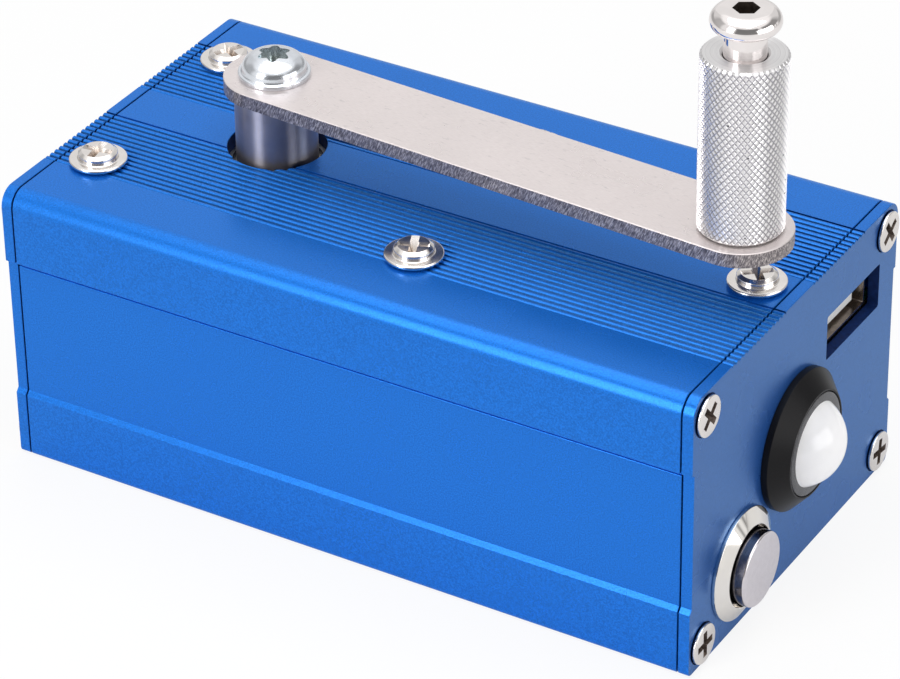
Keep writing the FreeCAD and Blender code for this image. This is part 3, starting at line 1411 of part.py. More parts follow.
def lamp_lens():
    """Clear lens: a flange seated in the bezel and a hollow dome, part of a sphere."""
    sphere_r = (LAMP_DOME_R ** 2 + LAMP_DOME_H ** 2) / 2 / LAMP_DOME_H
    centre = LAMP_DOME_H - sphere_r
    cavity_sphere_r = sphere_r - LAMP_LENS_WALL
    cavity_r = math.sqrt(cavity_sphere_r ** 2 - centre ** 2)

    def halfway(radius, edge_r):
        angle = math.asin(edge_r / radius) / 2
        return (radius * math.sin(angle), centre + radius * math.cos(angle))

    lens = lathe([
        (0, LAMP_DOME_H),
        (halfway(sphere_r, LAMP_DOME_R), (LAMP_DOME_R, 0)),
        (LAMP_FLANGE_R, 0),
        (LAMP_FLANGE_R, -LAMP_FLANGE_T),
        (cavity_r, -LAMP_FLANGE_T),
        (cavity_r, 0),
        (halfway(cavity_sphere_r, cavity_r), (0, LAMP_DOME_H - LAMP_LENS_WALL)),
    ])
    return facing_x(lens, LAMP_FRONT, LAMP_Y, LAMP_Z)


def lamp_emitter():
    """Emitter board in the barrel, with its square chip."""
    front = LAMP_BOARD_X + LAMP_BOARD_T
    board = rod_x(LAMP_BARREL_R - LAMP_BARREL_WALL, LAMP_BOARD_X, front, LAMP_Y, LAMP_Z)
    half = LAMP_CHIP / 2
    chip = block(
        front, front + LAMP_CHIP_T,
        LAMP_Y - half, LAMP_Y + half, LAMP_Z - half, LAMP_Z + half,
    )
    return board.fuse(chip)


def hex_nut(flats, hole_r, x0, x1, y, z):
    """Panel nut along X, with its flats level."""
    nut = prism(polygon_points(HEX_SIDES, flats, 90.0), x1 - x0).cut(rod(hole_r, 0, x1 - x0))
    return facing_x(nut, x0, y, z)


def lamp_nut():
    """Nut that clamps the lamp, the end plate and the bracket together."""
    return hex_nut(LAMP_NUT_FLATS, LAMP_BARREL_R, BRACKET_X0 - LAMP_NUT_T, BRACKET_X0, LAMP_Y, LAMP_Z)


# ======================================================================
# Push button
# ======================================================================

def button_barrel():
    """Polished bezel and threaded barrel of the button."""
    well_floor = BUTTON_BEZEL_H - BUTTON_WELL_DEPTH
    guide = BUTTON_R + BUTTON_GUIDE_GAP
    shoulder = well_floor - BUTTON_GUIDE
    body = lathe([
        (BUTTON_REAR_R, -BUTTON_DEPTH),
        (BUTTON_BARREL_R, -BUTTON_DEPTH),
        (BUTTON_BARREL_R, 0),
        (BUTTON_BEZEL_R, 0),
        (BUTTON_BEZEL_R, BUTTON_RIM),
        (BUTTON_FACE_R, BUTTON_BEZEL_H),
        (BUTTON_WELL_R, BUTTON_BEZEL_H),
        (BUTTON_WELL_R, well_floor),
        (guide, well_floor),
        (guide, shoulder),
        (BUTTON_REAR_R, shoulder),
    ])
    return facing_x(body, RIGHT_FACE, BUTTON_Y, BUTTON_Z)


def button_actuator():
    """Flat-faced plunger with a collar that the barrel's shoulder stops."""
    body = lathe([
        (0, COLLAR_BACK - SPRING_PILOT),
        (SPRING_PILOT_R, COLLAR_BACK - SPRING_PILOT),
        (SPRING_PILOT_R, COLLAR_BACK),
        (BUTTON_COLLAR_R, COLLAR_BACK),
        (BUTTON_COLLAR_R, COLLAR_FRONT),
        (BUTTON_R, COLLAR_FRONT),
        (BUTTON_R, BUTTON_TIP - BUTTON_EDGE),
        (BUTTON_R - BUTTON_EDGE, BUTTON_TIP),
        (0, BUTTON_TIP),
    ])
    return facing_x(body, 0, BUTTON_Y, BUTTON_Z)


def button_nut():
    """Nut that clamps the button to the end plate."""
    return hex_nut(
        BUTTON_NUT_FLATS, BUTTON_BARREL_R, RIGHT_INNER - BUTTON_NUT_T, RIGHT_INNER, BUTTON_Y, BUTTON_Z,
    )


def button_block():
    """Moulded contact block that closes the barrel."""
    plug = rod_x(BUTTON_REAR_R, BUTTON_BACK, BLOCK_FRONT, BUTTON_Y, BUTTON_Z)
    return plug.fuse(rod_x(BLOCK_FLANGE_R, BLOCK_BACK, BUTTON_BACK, BUTTON_Y, BUTTON_Z))


def button_terminals():
    """Two contact tabs behind the block."""
    tabs = []
    for side in (-1, 1):
        y = BUTTON_Y + side * BUTTON_TAB_Y
        tabs.append(block(
            BLOCK_BACK - BUTTON_TAB_L, BLOCK_BACK,
            y - BUTTON_TAB_T / 2, y + BUTTON_TAB_T / 2,
            BUTTON_Z - BUTTON_TAB_W / 2, BUTTON_Z + BUTTON_TAB_W / 2,
        ))
    return Part.makeCompound(tabs)


def button_spring():
    """Coil spring between the block and the plunger's collar."""
    length = COLLAR_BACK - BLOCK_FRONT - 2 * (SPRING_WIRE_R + SPRING_SEAT_GAP)
    helix = Part.makeHelix(length / SPRING_TURNS, length, SPRING_R)
    ring = Part.Wire(Part.makeCircle(SPRING_WIRE_R, V(SPRING_R, 0, 0), Y_AXIS))
    coil = Part.Wire(helix).makePipeShell([ring], True, True)
    return facing_x(coil, BLOCK_FRONT + SPRING_WIRE_R + SPRING_SEAT_GAP, BUTTON_Y, BUTTON_Z)


# ======================================================================
# USB socket, circuit board and its parts
# ======================================================================

def usb_shell():
    """Folded metal shell of the socket, open at the front."""
    half = USB_W / 2
    top = BOARD_TOP + USB_H
    outer = block(USB_BACK, USB_FACE, USB_Y - half, USB_Y + half, BOARD_TOP, top)
    outer = outer.makeFillet(2 * USB_WALL, edges_along(outer, X_AXIS))
    inner = block(
        USB_BACK + USB_WALL, USB_FACE,
        USB_Y - half + USB_WALL, USB_Y + half - USB_WALL,
        BOARD_TOP + USB_WALL, top - USB_WALL,
    )
    return outer.cut(inner.makeFillet(USB_WALL, edges_along(inner, X_AXIS)))


def tongue_z():
    """Underside height of the socket's tongue."""
    return BOARD_TOP + USB_WALL + USB_TONGUE_RISE


def usb_tongue():
    """Moulded body at the back of the shell, and the tongue that carries the contacts."""
    half_body = USB_W / 2 - 2 * USB_WALL
    half_tongue = USB_TONGUE_W / 2
    back = USB_BACK + USB_WALL
    body = block(
        back, back + USB_BODY_T,
        USB_Y - half_body, USB_Y + half_body,
        BOARD_TOP + USB_WALL, BOARD_TOP + USB_H - USB_WALL,
    )
    tongue = block(
        back, USB_FACE - USB_TONGUE_BACK,
        USB_Y - half_tongue, USB_Y + half_tongue,
        tongue_z(), tongue_z() + USB_TONGUE_T,
    )
    return body.fuse(tongue).removeSplitter()


def usb_contacts():
    """Gold strips on the tongue."""
    first = USB_Y - USB_CONTACT_PITCH * (USB_CONTACTS - 1) / 2
    seat = tongue_z() + USB_TONGUE_T
    strips = []
    for i in range(USB_CONTACTS):
        y = first + i * USB_CONTACT_PITCH
        strips.append(block(
            USB_BACK + USB_WALL + USB_BODY_T, USB_FACE - USB_TONGUE_BACK - USB_CONTACT_W / 2,
            y - USB_CONTACT_W / 2, y + USB_CONTACT_W / 2,
            seat, seat + USB_CONTACT_T,
        ))
    return Part.makeCompound(strips)


def circuit_board():
    """Board in the case's guides, notched round the lamp's nut and the bracket."""
    board = block(BOARD_X0, BOARD_X1, -BOARD_HALF_W, BOARD_HALF_W, BOARD_Z, BOARD_TOP)
    half = BRACKET_W / 2 + BOARD_NOTCH_GAP
    notch = block(BOARD_X1 - BOARD_NOTCH_DEPTH, BOARD_X1, LAMP_Y - half, LAMP_Y + half, BOARD_Z, BOARD_TOP)
    return board.cut(notch)


def storage_capacitors():
    """Standing electrolytic capacitors."""
    cans = []
    for x, y in CAPACITOR_SPOTS:
        neck_z = CAPACITOR_NECK_RISE * CAPACITOR_H
        cans.append(lathe([
            (0, 0),
            (CAPACITOR_R, 0),
            (CAPACITOR_R, neck_z),
            (CAPACITOR_R - CAPACITOR_NECK, neck_z + CAPACITOR_NECK),
            (CAPACITOR_R, neck_z + 2 * CAPACITOR_NECK),
            (CAPACITOR_R, CAPACITOR_H - CAPACITOR_NECK),
            (CAPACITOR_R - CAPACITOR_NECK, CAPACITOR_H),
            (0, CAPACITOR_H),
        ], (BOARD_X0 + x, y, BOARD_TOP)))
    return Part.makeCompound(cans)


def power_inductor():
    """Shielded power inductor with a round core in a square body."""
    half = INDUCTOR_SIDE / 2
    x, y = BOARD_X0 + INDUCTOR_SPOT[0], INDUCTOR_SPOT[1]
    top = BOARD_TOP + INDUCTOR_H
    corner_r = INDUCTOR_CORNER * half
    body = rounded_plate(x - half, x + half, y - half, y + half, BOARD_TOP, top, corner_r)
    outer_r, inner_r = (share * half for share in INDUCTOR_RING)
    groove = tube(outer_r, inner_r, top - INDUCTOR_RING_DEPTH * INDUCTOR_H, top, (x, y))
    return body.cut(groove)


def centred_block(size, x, y, z0):
    """Block of a given size standing on a height."""
    return block(x - size[0] / 2, x + size[0] / 2, y - size[1] / 2, y + size[1] / 2, z0, z0 + size[2])


def rectifier_diodes():
    """Row of rectifier diodes, set out from the board's edge."""
    diodes = []
    for i in range(DIODE_COUNT):
        y = DIODE_ROW_FROM_EDGE + i * DIODE_PITCH - BOARD_HALF_W
        diodes.append(centred_block(DIODE_SIZE, BOARD_X0 + DIODE_X, y, BOARD_TOP))
    return Part.makeCompound(diodes)


def regulator_chips():
    """Regulator and charger chips."""
    return Part.makeCompound([
        centred_block(CHIP_SIZE, BOARD_X0 + x, y, BOARD_TOP) for x, y in CHIP_SPOTS
    ])


def connector(x0, y, mouth):
    """Plug housing under the board; mouth is the side, -1 or 1 along X, that its leads enter."""
    length, width, height = CONNECTOR_SIZE
    bottom = BOARD_Z - height
    body = block(x0, x0 + length, y - width / 2, y + width / 2, bottom, BOARD_Z)
    end = x0 if mouth < 0 else x0 + length
    groove = (end, end - mouth * CONNECTOR_MOUTH * length)
    half = CONNECTOR_MOUTH * width
    slit_top = bottom + CONNECTOR_SLIT_H * height
    slit = block(min(groove), max(groove), y - half, y + half, bottom, slit_top)
    return body.cut(slit)


def lead_connectors():
    """Plug housings of the generator, lamp and button leads."""
    return Part.makeCompound([
        connector(BOARD_X0 + GENERATOR_PLUG_X, GENERATOR_PLUG_Y, -1),
        connector(BOARD_X0 + LAMP_PLUG_X, LAMP_PLUG_Y, 1),
        connector(BOARD_X0 + BUTTON_PLUG_X, BUTTON_PLUG_Y, -1),
    ])


def generator_lead(side):
    """Lead from a generator terminal along the floor and up into its plug."""
    x0 = ROTOR_AXIS[0] + BRUSH_WIDTH / 2
    y0 = ROTOR_AXIS[1] + side * (TERMINAL_R - BRUSH_STRIP_T / 2)
    y1 = GENERATOR_PLUG_Y + side * CONNECTOR_PIN_Y
    plug_x = BOARD_X0 + GENERATOR_PLUG_X
    bend_x = GEARBOX_X1 - GENERATOR_BEND_INSET
    low_rise, high_rise = GENERATOR_RISES
    back, down = GENERATOR_PLUG_BEND
    return lead([
        V(x0, y0, FLOOR_LEAD_Z),
        V(x0 + FLOOR_RUN_SHARE * (bend_x - x0), y0, FLOOR_LEAD_Z),
        V(bend_x - GENERATOR_RISE_RUN, (y0 + y1) / 2, FLOOR_LEAD_Z + low_rise),
        V(bend_x, y1, FLOOR_LEAD_Z + high_rise),
        V(plug_x - back, y1, PLUG_Z - down),
        V(plug_x - LEAD_END, y1, PLUG_Z),
        V(plug_x, y1, PLUG_Z),
    ], LEAD_R)


def lamp_lead(side):
    """Lead from the emitter board back to its plug."""
    y0 = LAMP_Y + side * CONNECTOR_PIN_Y
    y1 = LAMP_PLUG_Y + side * CONNECTOR_PIN_Y
    plug_x = BOARD_X0 + LAMP_PLUG_X + CONNECTOR_SIZE[0]
    return lead([
        V(LAMP_BOARD_X, y0, LAMP_Z),
        V(LAMP_BACK - LAMP_BEND_OUT, y0, LAMP_Z),
        V(plug_x + LAMP_PLUG_BEND, y1, PLUG_Z),
        V(plug_x, y1, PLUG_Z),
    ], LEAD_R)


def button_lead(side):
    """Lead from a button tab, round in a loop to its plug."""
    x0 = BLOCK_BACK - BUTTON_TAB_L
    y0 = BUTTON_Y + side * BUTTON_TAB_Y
    y1 = BUTTON_PLUG_Y + side * CONNECTOR_PIN_Y
    plug_x = BOARD_X0 + BUTTON_PLUG_X
    lower, middle, upper = (plug_x - back for back in BUTTON_LOOP)
    return lead([
        V(x0, y0, BUTTON_Z),
        V(x0 - LEAD_END, y0, BUTTON_Z),
        V(lower, (y0 + y1) / 2, BUTTON_Z),
        V(middle, y1, (BUTTON_Z + PLUG_Z) / 2),
        V(upper, y1, PLUG_Z),
        V(plug_x, y1, PLUG_Z),
    ], LEAD_R)


def red_leads():
    """Positive leads."""
    return Part.makeCompound([generator_lead(1), lamp_lead(1), button_lead(1)])


def black_leads():
    """Negative leads."""
    return Part.makeCompound([generator_lead(-1), lamp_lead(-1), button_lead(-1)])


# ======================================================================
# Every sub-part, one file each
# ======================================================================

PARTS = [
    upper_shell, lower_shell, left_end_plate, right_end_plate, end_plate_screws, top_flange_screws,
    end_bracket, upper_gear_plate, lower_gear_plate, gearbox_pillars, pillar_screws,
    upper_bearing_outer, upper_bearing_inner, upper_bearing_balls, lower_bush,
    first_idler_pin, second_idler_pin, idler_clip, crank_shaft, shaft_clip, crank_hub, crank_arm,
    crank_screw, handle_bolt, handle_sleeve, drive_gear, first_idler_gear, second_idler_gear,
    generator_can, generator_magnets, generator_end_cap, generator_bushes, generator_brushes,
    generator_screws, rotor_shaft, rotor_core, rotor_windings, commutator, rotor_pinion,
    lamp_bezel, lamp_lens, lamp_emitter, lamp_nut,
    button_barrel, button_actuator, button_nut, button_block, button_terminals, button_spring,
    usb_shell, usb_tongue, usb_contacts, circuit_board, storage_capacitors, power_inductor,
    rectifier_diodes, regulator_chips, lead_connectors, red_leads, black_leads,
]


def main():
    os.makedirs("parts", exist_ok=True)
    for make in PARTS:
        shape = make()
        shape.exportStep(os.path.join("parts", make.__name__ + ".step"))
        print(make.__name__, len(shape.Solids), round(shape.Volume, 2), shape.isValid())


main()
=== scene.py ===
import math

import bmesh
import bpy
from bpy.props import FloatProperty, FloatVectorProperty, IntProperty, PointerProperty
from bpy.types import Operator, Panel, PropertyGroup
from mathutils import Matrix, Vector


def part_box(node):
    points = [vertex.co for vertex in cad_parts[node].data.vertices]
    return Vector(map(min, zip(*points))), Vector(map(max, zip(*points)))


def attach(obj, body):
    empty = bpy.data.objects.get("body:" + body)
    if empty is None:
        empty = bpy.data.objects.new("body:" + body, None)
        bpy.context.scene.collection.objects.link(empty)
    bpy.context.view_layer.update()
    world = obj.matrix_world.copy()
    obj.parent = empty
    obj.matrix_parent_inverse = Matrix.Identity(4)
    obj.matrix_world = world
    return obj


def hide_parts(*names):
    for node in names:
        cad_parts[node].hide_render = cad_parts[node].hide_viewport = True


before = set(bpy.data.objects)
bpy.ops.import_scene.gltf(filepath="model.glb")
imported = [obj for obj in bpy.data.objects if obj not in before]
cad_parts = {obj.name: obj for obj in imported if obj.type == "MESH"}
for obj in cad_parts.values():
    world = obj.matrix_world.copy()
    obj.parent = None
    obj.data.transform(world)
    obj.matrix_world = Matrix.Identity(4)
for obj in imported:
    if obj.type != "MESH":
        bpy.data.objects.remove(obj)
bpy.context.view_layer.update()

bl_info = {
    "name": "Hand crank generator",
    "version": (1, 0, 0),
    "blender": (4, 5, 0),
    "location": "View3D > Sidebar > Generator",
    "description": "Dresses the hand crank generator: case, crank, handle and the fittings of its end plate",
    "category": "Object",
}

MM = 0.001
TURN = 2 * math.pi
OVERCUT = 1 * MM  # how far a cutter stands out of what it cuts
FIT_GAP = 0.1 * MM  # gap between a fitting and its hole
NEAR = 0.05 * MM  # tolerance of the tests that pick faces
SEAT_DEPTH = 1.1 * MM  # depth at which an end screw's seat meets its shank
SOFT_EDGE = 0.1 * MM  # rounding of the fittings' edges
HUB_EDGE, SCREW_EDGE, BOLT_EDGE = 0.2 * MM, 0.15 * MM, 0.08 * MM  # roundings of the crank's pieces
ACRYLIC_IOR = 1.49

# Sides of the turned pieces.
SMALL_ROUND, SCREW_ROUND, PLAIN_ROUND, WIDE_ROUND, RIM_ROUND = 64, 80, 96, 128, 160


# ======================================================================
# Places and sizes that come from the frame
# ======================================================================

def middle(node):
    """Centre of a node's box."""
    low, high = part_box(node)
    return (low + high) / 2


SHELL_LOW, SHELL_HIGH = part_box("upper_shell")
BASE_LOW, BASE_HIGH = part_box("lower_shell")
PLATE_LOW, PLATE_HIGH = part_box("right_end_plate")
HALF_W, CASE_TOP, SPLIT_Z = PLATE_HIGH.y, PLATE_HIGH.z, BASE_HIGH.z
PLATE_T = PLATE_HIGH.x - PLATE_LOW.x
CRANK_AXIS, HANDLE_AXIS = middle("crank_hub"), middle("handle_sleeve")
LAMP_AXIS, BUTTON_AXIS = middle("lamp_bezel"), middle("button_barrel")
SOCKET_LOW, SOCKET_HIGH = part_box("usb_shell")
HUB_LOW, HUB_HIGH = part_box("crank_hub")
ARM_LOW, ARM_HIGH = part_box("crank_arm")
SLEEVE_LOW, SLEEVE_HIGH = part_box("handle_sleeve")
PILLAR_LOW, PILLAR_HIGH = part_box("gearbox_pillars")
ARM_WAY = HANDLE_AXIS - CRANK_AXIS
ARM_REACH = math.hypot(ARM_WAY.x, ARM_WAY.y)


def length(name, description, millimetres):
    """Length setting, given in millimetres."""
    return FloatProperty(
        name=name, description=description, default=millimetres * MM,
        min=0.0, precision=5, unit="LENGTH", subtype="DISTANCE",
    )


def number(name, description, value, most=1000.0):
    """Setting without a unit."""
    return FloatProperty(name=name, description=description, default=value, min=0.0, max=most)


def count(name, description, value, least):
    """Setting that counts things."""
    return IntProperty(name=name, description=description, default=value, min=least)


def colour(name, description, value):
    """Colour setting."""
    return FloatVectorProperty(
        name=name, description=description, default=value, size=3, min=0.0, max=1.0, subtype="COLOR",
    )


class CaseSettings(PropertyGroup):
    """Sizes and colours of the shells and end plates"""
    wall: length("Side wall", "Thickness of the case's sides", 2.0)
    roof: length("Roof", "Thickness of the case's roof", 2.2)
    top_radius: length("Top radius", "Radius of the long top edges", 2.5)
    foot_radius: length("Foot radius", "Radius of the long bottom edges", 0.8)
    recess: length("Side recess", "How far the middle of each side is set back", 0.5)
    band_height: length("Lower band", "Height of the full-width band at the bottom", 10.0)
    band_chamfer: length("Lower band chamfer", "Height of the slope above the lower band", 0.6)
    rib_count: count("Ribs", "Ribs in each band of the roof", 14, 1)
    rib_pitch: length("Rib pitch", "Distance from rib to rib", 1.0)
    rib_width: length("Rib width", "Width of one rib at its foot", 0.86)
    rib_depth: length("Rib depth", "Height of the ribs above the valleys", 0.3)
    rib_band: length("Rib band", "Distance of each rib band from the middle of the roof", 10.8)
    edge: length("Edge break", "Softening of the cut edges", 0.14)
    # Painted shade: the valleys between the ribs take the blue darkened by this factor, in place of the shade
    # that falls there.
    valley: number("Valley tone", "Brightness of the dye low between the ribs", 0.36, 1.0)
    seam: length("Seam", "Gap shown between the shells and between shell and end plate", 0.1)
    notch: length("Seam notch", "Height of the notch along the lower shell's upper edge", 0.5)
    notch_depth: length("Seam notch depth", "Depth of that notch", 0.35)
    crank_hole: length("Crank hole", "Radius of the roof's hole round the hub", 6.5)
    window_side: length("Window side gap", "Gap beside the socket in the end plate's window", 0.75)
    window_top: length("Window top gap", "Gap above and below the socket in the window", 0.325)
    window_corner: length("Window corner", "Corner radius of the window", 0.3)
    blue: colour("Anodised blue", "Colour of the dyed aluminium", (0.011, 0.168, 0.690))
    # Painted shade: the end plates' outer faces take this darker, greyer copy of the anodised blue, while
    # their edges keep the shell's blue.
    painted_shade_plate_blue: colour("End plate blue", "Colour of the faces of the end plates", (0.024, 0.104, 0.390))
    # Painted shade: colour given to the walls of the openings and to the screws' countersink steps.
    painted_shade_blue: colour("Cut walls", "Colour of the shaded walls of the openings", (0.008, 0.028, 0.130))


class ScrewSettings(PropertyGroup):
    """Sizes of the end plate screws and the top screws"""
    inset: length("Screw inset", "Distance of the end screws from the case's faces", 3.3)
    head_radius: length("End screw head", "Radius of the end screws' heads", 2.7)
    proud: length("End screw rise", "How far the end screws stand out of the plate", 0.55)
    # The step takes the painted shade of the openings' walls, which makes it dark.
    ring: length("Countersink ring", "Width of the dark step round each end screw", 0.13)
    ring_step: length("Countersink step", "Depth of the step round each end screw", 0.3)
    rim: length("End screw rim", "Height of the upright rim of the end screws' heads", 0.35)
    cone: length("Head cone", "Depth at which the end screws' heads meet their shanks", 1.0)
    shank: length("Shank radius", "Radius of the screws' shanks", 1.5)
    shank_length: length("Shank length", "Length of the screws' shanks", 9.0)
    flange: length("Flange radius", "Radius of the top screws' washers", 3.8)
    flange_seat: length("Flange seat", "Radius on which the top screws sit", 3.1)
    flange_lift: length("Flange lift", "Height of the washer's outer edge above its seat", 0.35)
    flange_thick: length("Flange thickness", "Thickness of the washer's edge", 0.45)
    dome: length("Dome radius", "Radius of the top screws' heads above the washer", 2.6)
    dome_height: length("Dome height", "Height of the top screws' heads", 1.9)
    dome_rim: length("Dome rim", "Height of the upright side of the top screws' heads", 0.75)
    pillar: length("Pillar radius", "Radius of the pillars that the top screws hold", 3.0)


class CrankSettings(PropertyGroup):
    """Sizes of the arm, hub, screw, bolt and sleeve"""
    arm_width: length("Arm width", "Width of the arm", 13.2)
    arm_bevel: length("Arm bevel", "Bevel on the arm's upper edge", 0.12)
    hub_radius: length("Hub radius", "Radius of the hub", 5.35)
    hub_collar: length("Hub collar", "Radius of the hub's collar on the bearing", 3.95)
    hub_boss: length("Hub boss", "Radius of the boss inside the arm", 3.7)
    hub_bore: length("Hub bore", "Radius of the hub's bore", 3.0)
    hub_lift: length("Hub lift", "Height of the hub's underside above its collar", 0.3)
    screw_rim: length("Screw rim radius", "Radius of the crank screw's rim", 4.7)
    screw_rim_height: length("Screw rim height", "Height of the crank screw's rim", 0.6)
    screw_dome: length("Screw dome radius", "Radius of the crank screw's dome", 4.2)
    lobe_ring: length("Recess radius", "Mean radius of the six-lobe recess", 1.93)
    lobe_swing: length("Recess lobes", "How far the lobes swing about the mean radius", 0.33)
    lobe_depth: length("Recess depth", "Depth of the six-lobe recess", 1.9)
    neck: length("Neck radius", "Radius of the bolt's neck", 2.65)
    bolt_shank: length("Bolt shank radius", "Radius of the bolt in the arm", 2.0)
    bolt_head: length("Bolt head radius", "Radius of the bolt's head", 4.35)
    bolt_head_height: length("Bolt head height", "Height of the bolt's head", 2.7)
    bolt_flat: length("Bolt flat radius", "Radius of the bolt's flat top", 2.6)
    bolt_under: length("Bolt underside radius", "Radius where the bolt head's underside starts to curve", 3.3)
    bolt_over: length("Bolt round-over", "Height of the bolt head's upper curve", 1.64)
    hex_flats: length("Hex socket", "Width across the flats of the bolt's socket", 3.0)
    hex_depth: length("Hex depth", "Depth of the bolt's socket", 1.8)
    knurls: count("Knurls", "Diamonds round the sleeve", 44, 12)
    knurl_rows: count("Knurl rows", "Half rows of diamonds along the sleeve", 48, 4)
    knurl_depth: length("Knurl depth", "Depth of the grooves between the diamonds", 0.17)
    knurl_flat: number("Knurl flat", "Share of each diamond that is flat", 0.56, 0.9)
    bore_gap: length("Bore gap", "Gap between the sleeve's bore and the neck", 0.09)
    chamfer: length("Sleeve chamfer", "Chamfer on the sleeve's ends", 0.3)


class FittingSettings(PropertyGroup):
    """Sizes of the lamp, the push button and the socket"""
    lamp_rim: length("Lamp rim", "Height of the lamp bezel's upright rim", 0.9)
    lamp_cone: length("Lamp cone", "Height of the lamp bezel's cone", 2.0)
    lamp_radius: length("Lamp bezel radius", "Radius of the lamp's bezel", 9.4)
    lamp_front: length("Lamp front radius", "Radius of the bezel's front edge", 7.15)
    lamp_barrel: length("Lamp barrel radius", "Radius of the lamp's barrel", 6.0)
    lamp_barrel_wall: length("Lamp barrel wall", "Wall of the lamp's barrel", 0.8)
    lens_flange: length("Lens flange radius", "Radius of the lens's flange", 6.8)
    lens_flange_thick: length("Lens flange thickness", "Thickness of the lens's flange", 0.9)
    lens_dome: length("Lens dome radius", "Radius of the lens's dome at its foot", 5.6)
    lens_height: length("Lens dome height", "Height of the lens's dome", 3.6)
    lens_wall: length("Lens wall", "Wall of the lens", 0.8)
    chip: length("Chip", "Half the side of the lamp's square chip", 1.7)
    button_bezel: length("Button bezel radius", "Radius of the button's bezel", 7.5)
    button_rim: length("Button rim", "Height of the bezel's upright rim", 0.5)
    button_height: length("Button bezel height", "Height of the button's bezel", 1.5)
    button_face: length("Button bezel face", "Radius where the bezel's cone ends", 5.65)
    button_well: length("Button well", "Radius of the well round the actuator", 5.4)
    button_well_depth: length("Button well depth", "Depth of the well", 2.0)
    button_barrel: length("Button barrel", "Radius of the button's barrel", 5.9)
    button_radius: length("Actuator radius", "Radius of the actuator", 4.95)
    button_gap: length("Actuator gap", "Gap round the actuator in its guide", 0.06)
    button_edge: length("Actuator edge", "Rounding of the actuator's face", 0.3)
    socket_wall: length("Socket wall", "Thickness of the socket's shell", 0.3)
    socket_corner: length("Socket corner", "Corner radius of the socket's shell", 0.6)
    spring_spot: length("Spring windows", "Distance of the shell's spring windows from its middle", 3.2)
    spring_half: length("Spring window width", "Half the width of a spring window", 1.1)
    spring_near: length("Spring window front", "Distance of the spring windows from the shell's front", 2.5)
    spring_far: length("Spring window back", "Distance of their far ends from the shell's front", 6.0)
    tongue_side: length("Tongue inset", "How much narrower the tongue is than its body, on each side", 0.75)
    tongue_thick: length("Tongue thickness", "Thickness of the tongue", 1.9)
    tongue_forward: length("Tongue reach", "How far the tongue stands in front of its box in the frame", 0.3)
    contact_width: length("Contact width", "Width of a contact strip", 1.1)
    contact_bow: length("Contact bow", "How far the ends of a contact strip drop", 0.06)


class StudioSettings(PropertyGroup):
    """Light, floor and camera"""
    floor_size: length("Floor", "Side of the floor", 4000.0)
    top_power: number("Top lamp", "Power of the large lamp overhead", 5.9)
    key_power: number("Key lamp", "Power of the tall lamp at the front left", 3.5)
    back_power: number("Back lamp", "Power of the large lamp behind", 0.2)
    side_power: number("Side lamp", "Power of the lamp on the right", 2.9)
    world_light: number("Surroundings", "Strength of the soft light all round", 0.2)
    focal_length: number("Focal length", "Focal length in millimetres", 170.9)


# ======================================================================
# Mesh tools
# ======================================================================

NEARLY_STRAIGHT = math.radians(150)  # a corner more open than this stays as it is
LONGEST_REACH = 0.45  # share of a side that the rounding of one corner may take up
SHARPEST = 0.4  # limit to how far a sharp corner moves when its outline is drawn in
ON_AXIS = 1e-7  # a ring with a smaller radius is a single point


def polar(radius, angle, x=0.0, y=0.0):
    """Point at a radius and an angle from a centre."""
    return Vector((x + radius * math.cos(angle), y + radius * math.sin(angle)))


def arc(centre, radius, start, end, steps):
    """Points on an arc, angles in degrees."""
    return [polar(radius, math.radians(start + (end - start) * i / steps), *centre) for i in range(steps + 1)]


def oval(centre, width, height, start, end, steps):
    """Points on an oval's arc, angles in degrees."""
    turns = arc((0, 0), 1, start, end, steps)
    return [Vector((centre[0] + width * turn.x, centre[1] + height * turn.y)) for turn in turns]


def dome(edge_radius, height, steps):
    """Lathe points of a round cap, from its edge up to the axis."""
    sphere = (edge_radius ** 2 + height ** 2) / (2 * height)
    centre = height - sphere
    points = arc((0, centre), sphere, math.degrees(math.asin(-centre / sphere)), 90, steps)
    points[-1].x = 0.0
    return points


def eased(points, radius, closed=False, steps=3):
    """Outline whose sharp corners are rounded by a radius, or less where a side is short."""
    points = [Vector(point) for point in points]
    ends = () if closed else (0, len(points) - 1)
    result = []
    for i, corner in enumerate(points):
        before, after = points[i - 1] - corner, points[(i + 1) % len(points)] - corner
        if i in ends or before.angle(after) > NEARLY_STRAIGHT:
            result.append(corner)
            continue
        half = before.angle(after) / 2
        reach = min(radius / math.tan(half), LONGEST_REACH * before.length, LONGEST_REACH * after.length)
        start, end = corner + before.normalized() * reach, corner + after.normalized() * reach
        for step in range(steps + 1):
            t = step / steps
            a, b, c = (1 - t) ** 2, 2 * t * (1 - t) * math.sin(half), t ** 2
            result.append((a * start + b * corner + c * end) / (a + b + c))
    return result


def drawn_in(outline, inset):
    """Anticlockwise outline moved inwards by an inset."""
    result = []
    for i, point in enumerate(outline):
        before = (point - outline[i - 1]).normalized()
        after = (outline[(i + 1) % len(outline)] - point).normalized()
        inward = Vector((-before.y - after.y, before.x + after.x)).normalized()
        lean = max(SHARPEST, inward.dot(Vector((-before.y, before.x))))
        result.append(point + inward * inset / lean)
    return result


def bridge(bm, *rings):
    """Faces from each ring to the next, any of which may be a single point."""
    for lower, upper in zip(rings, rings[1:]):
        sides = max(len(lower), len(upper))
        for i in range(sides):
            j = (i + 1) % sides
            below, above = [[ring[k % len(ring)] for k in (i, j)] for ring in (lower, upper)]
            bm.faces.new(list(dict.fromkeys(below + above[::-1])))


